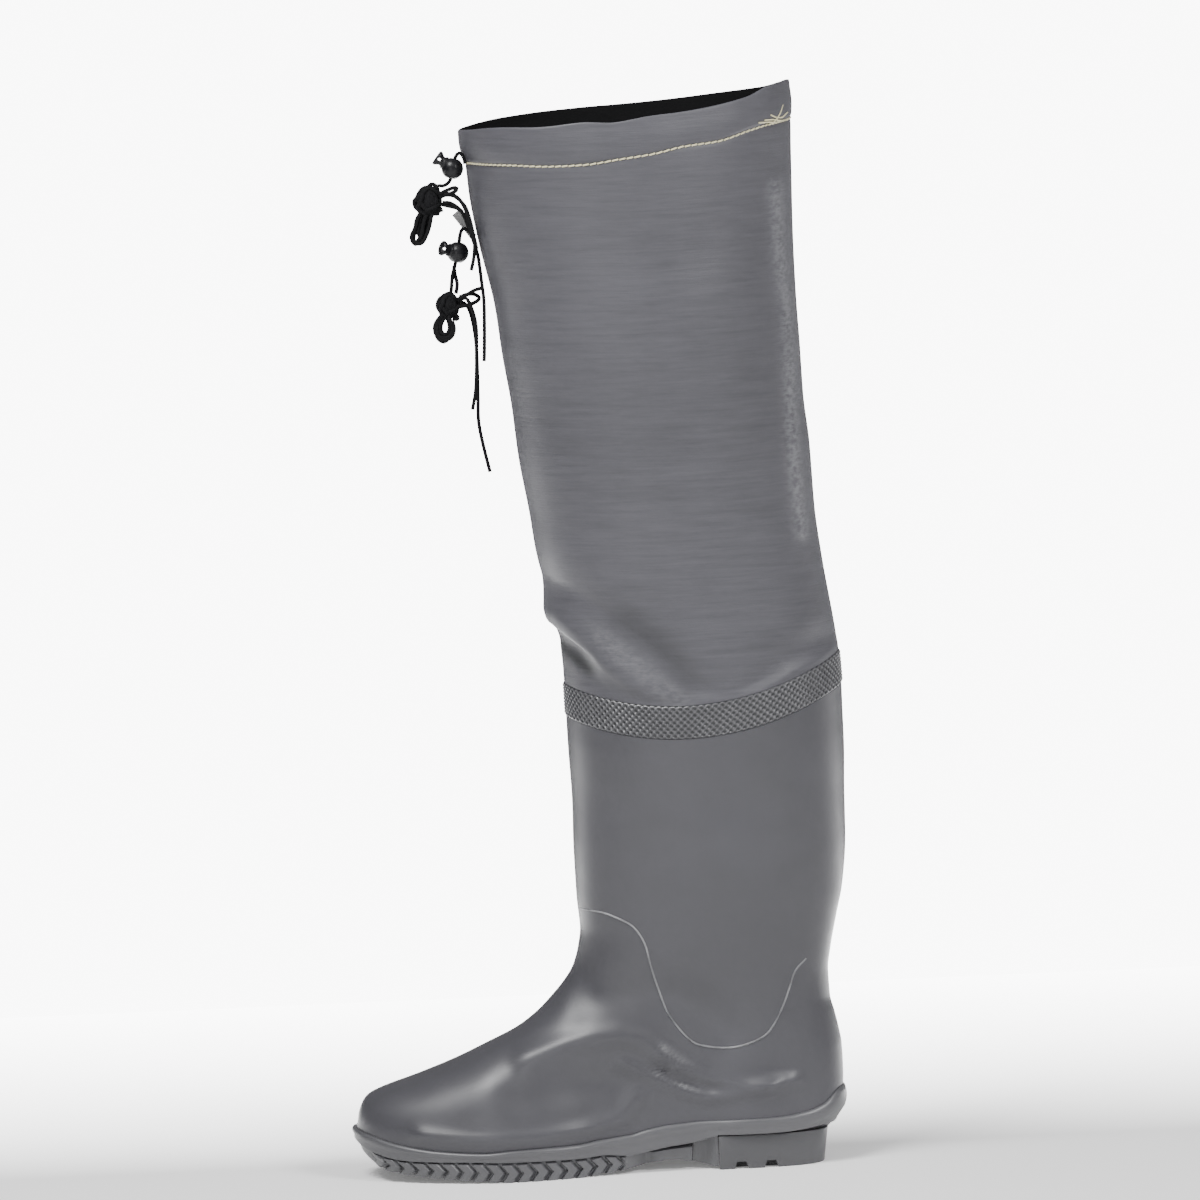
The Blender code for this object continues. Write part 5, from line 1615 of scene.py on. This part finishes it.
def make_light(name, place, aim, size, power):
    """A square soft light that points at a place."""
    data = bpy.data.lights.new(name, "AREA")
    data.shape = "SQUARE"
    data.size = size
    data.energy = power
    light = bpy.data.objects.new(name, data)
    light.location = place
    light.rotation_euler = (Vector(aim) - Vector(place)).to_track_quat("-Z", "Y").to_euler()
    bpy.context.scene.collection.objects.link(light)


def make_floor():
    """A pale floor that fades to white behind the boot."""
    made, tree, shader, where = new_finish("paper", (0.92, 0.92, 0.92), 0.9)
    split = tree.nodes.new("ShaderNodeSeparateXYZ")
    tree.links.new(where, split.inputs["Vector"])
    glow = remap(tree, split.outputs["Y"], FLOOR_FADE, FLOOR_END, 0.15, BACKGROUND)
    shader.inputs["Emission Color"].default_value = (1, 1, 1, 1)
    tree.links.new(glow, shader.inputs["Emission Strength"])
    front = [(side * FLOOR_HALF, FLOOR_FRONT, 0) for side in (-1, 1)]
    back = [(side * FLOOR_HALF, FLOOR_END, 0) for side in (1, -1)]
    corners = front + back
    mesh = bpy.data.meshes.new("paper_floor")
    mesh.from_pydata(corners, [], [(0, 1, 2, 3)])
    mesh.materials.append(made)
    floor = bpy.data.objects.new("paper_floor", mesh)
    bpy.context.scene.collection.objects.link(floor)


def make_world():
    """A dim studio, lighter on the right, with a white card straight behind the boot."""
    world = bpy.data.worlds.new("studio")
    world.use_nodes = True
    tree = world.node_tree
    where = tree.nodes.new("ShaderNodeTexCoord").outputs["Generated"]
    rise = math.radians(VIEW_ELEVATION)
    toward = tree.nodes.new("ShaderNodeVectorMath")
    toward.operation = "DOT_PRODUCT"
    toward.inputs[1].default_value = (0, math.cos(rise), -math.sin(rise))
    tree.links.new(where, toward.inputs[0])
    card_edge, card_middle = math.cos(math.radians(CARD_EDGE)), math.cos(math.radians(CARD_MIDDLE))
    card = remap(tree, toward.outputs["Value"], card_edge, card_middle, 0.0, BACKGROUND)
    split = tree.nodes.new("ShaderNodeSeparateXYZ")
    tree.links.new(where, split.inputs["Vector"])
    sides = remap(tree, split.outputs["X"], -1.0, 1.0, *WORLD_SIDES)
    background = tree.nodes["Background"]
    background.inputs["Color"].default_value = (1, 1, 1, 1)
    tree.links.new(maths(tree, "ADD", card, sides), background.inputs["Strength"])
    bpy.context.scene.world = world


def make_stage():
    """The floor, the studio round it and its soft lights."""
    make_floor()
    make_world()
    for light in LIGHTS:
        make_light(*light)


def main():
    """Makes the camera, the pieces, the stage and their finishes."""
    make_camera()
    cord = cord_finish()
    plastic = plastic_finish()
    knots = {side: make_knot(side, cord) for side in KNOTS}
    locks = {side: make_lock(side, plastic) for side in LOCKS}
    for name, spec in CORDS.items():
        make_cord(name, spec, cord)
    make_stage()
    lining = lining_finish()
    # The sole's and the heel's finishes are lit and shaded copies of one rubber: painted light and painted
    # shade.
    skins = {name: moulded_finish(f"moulded_{name}", *MOULDED[name]) for name in ("boot", "sole", "heel")}
    boot = make_boot(skins["boot"], lining)
    make_ankle_line(boot, line_finish())
    make_band(band_finish(), lining)
    make_shaft(fabric_finish(), lining)
    make_sole(skins["sole"])
    make_heel(skins["heel"])
    make_stitches(thread_finish())
    make_tab(tape_finish())
    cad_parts["insole"].data.materials.clear()
    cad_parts["insole"].data.materials.append(felt_finish())


main()
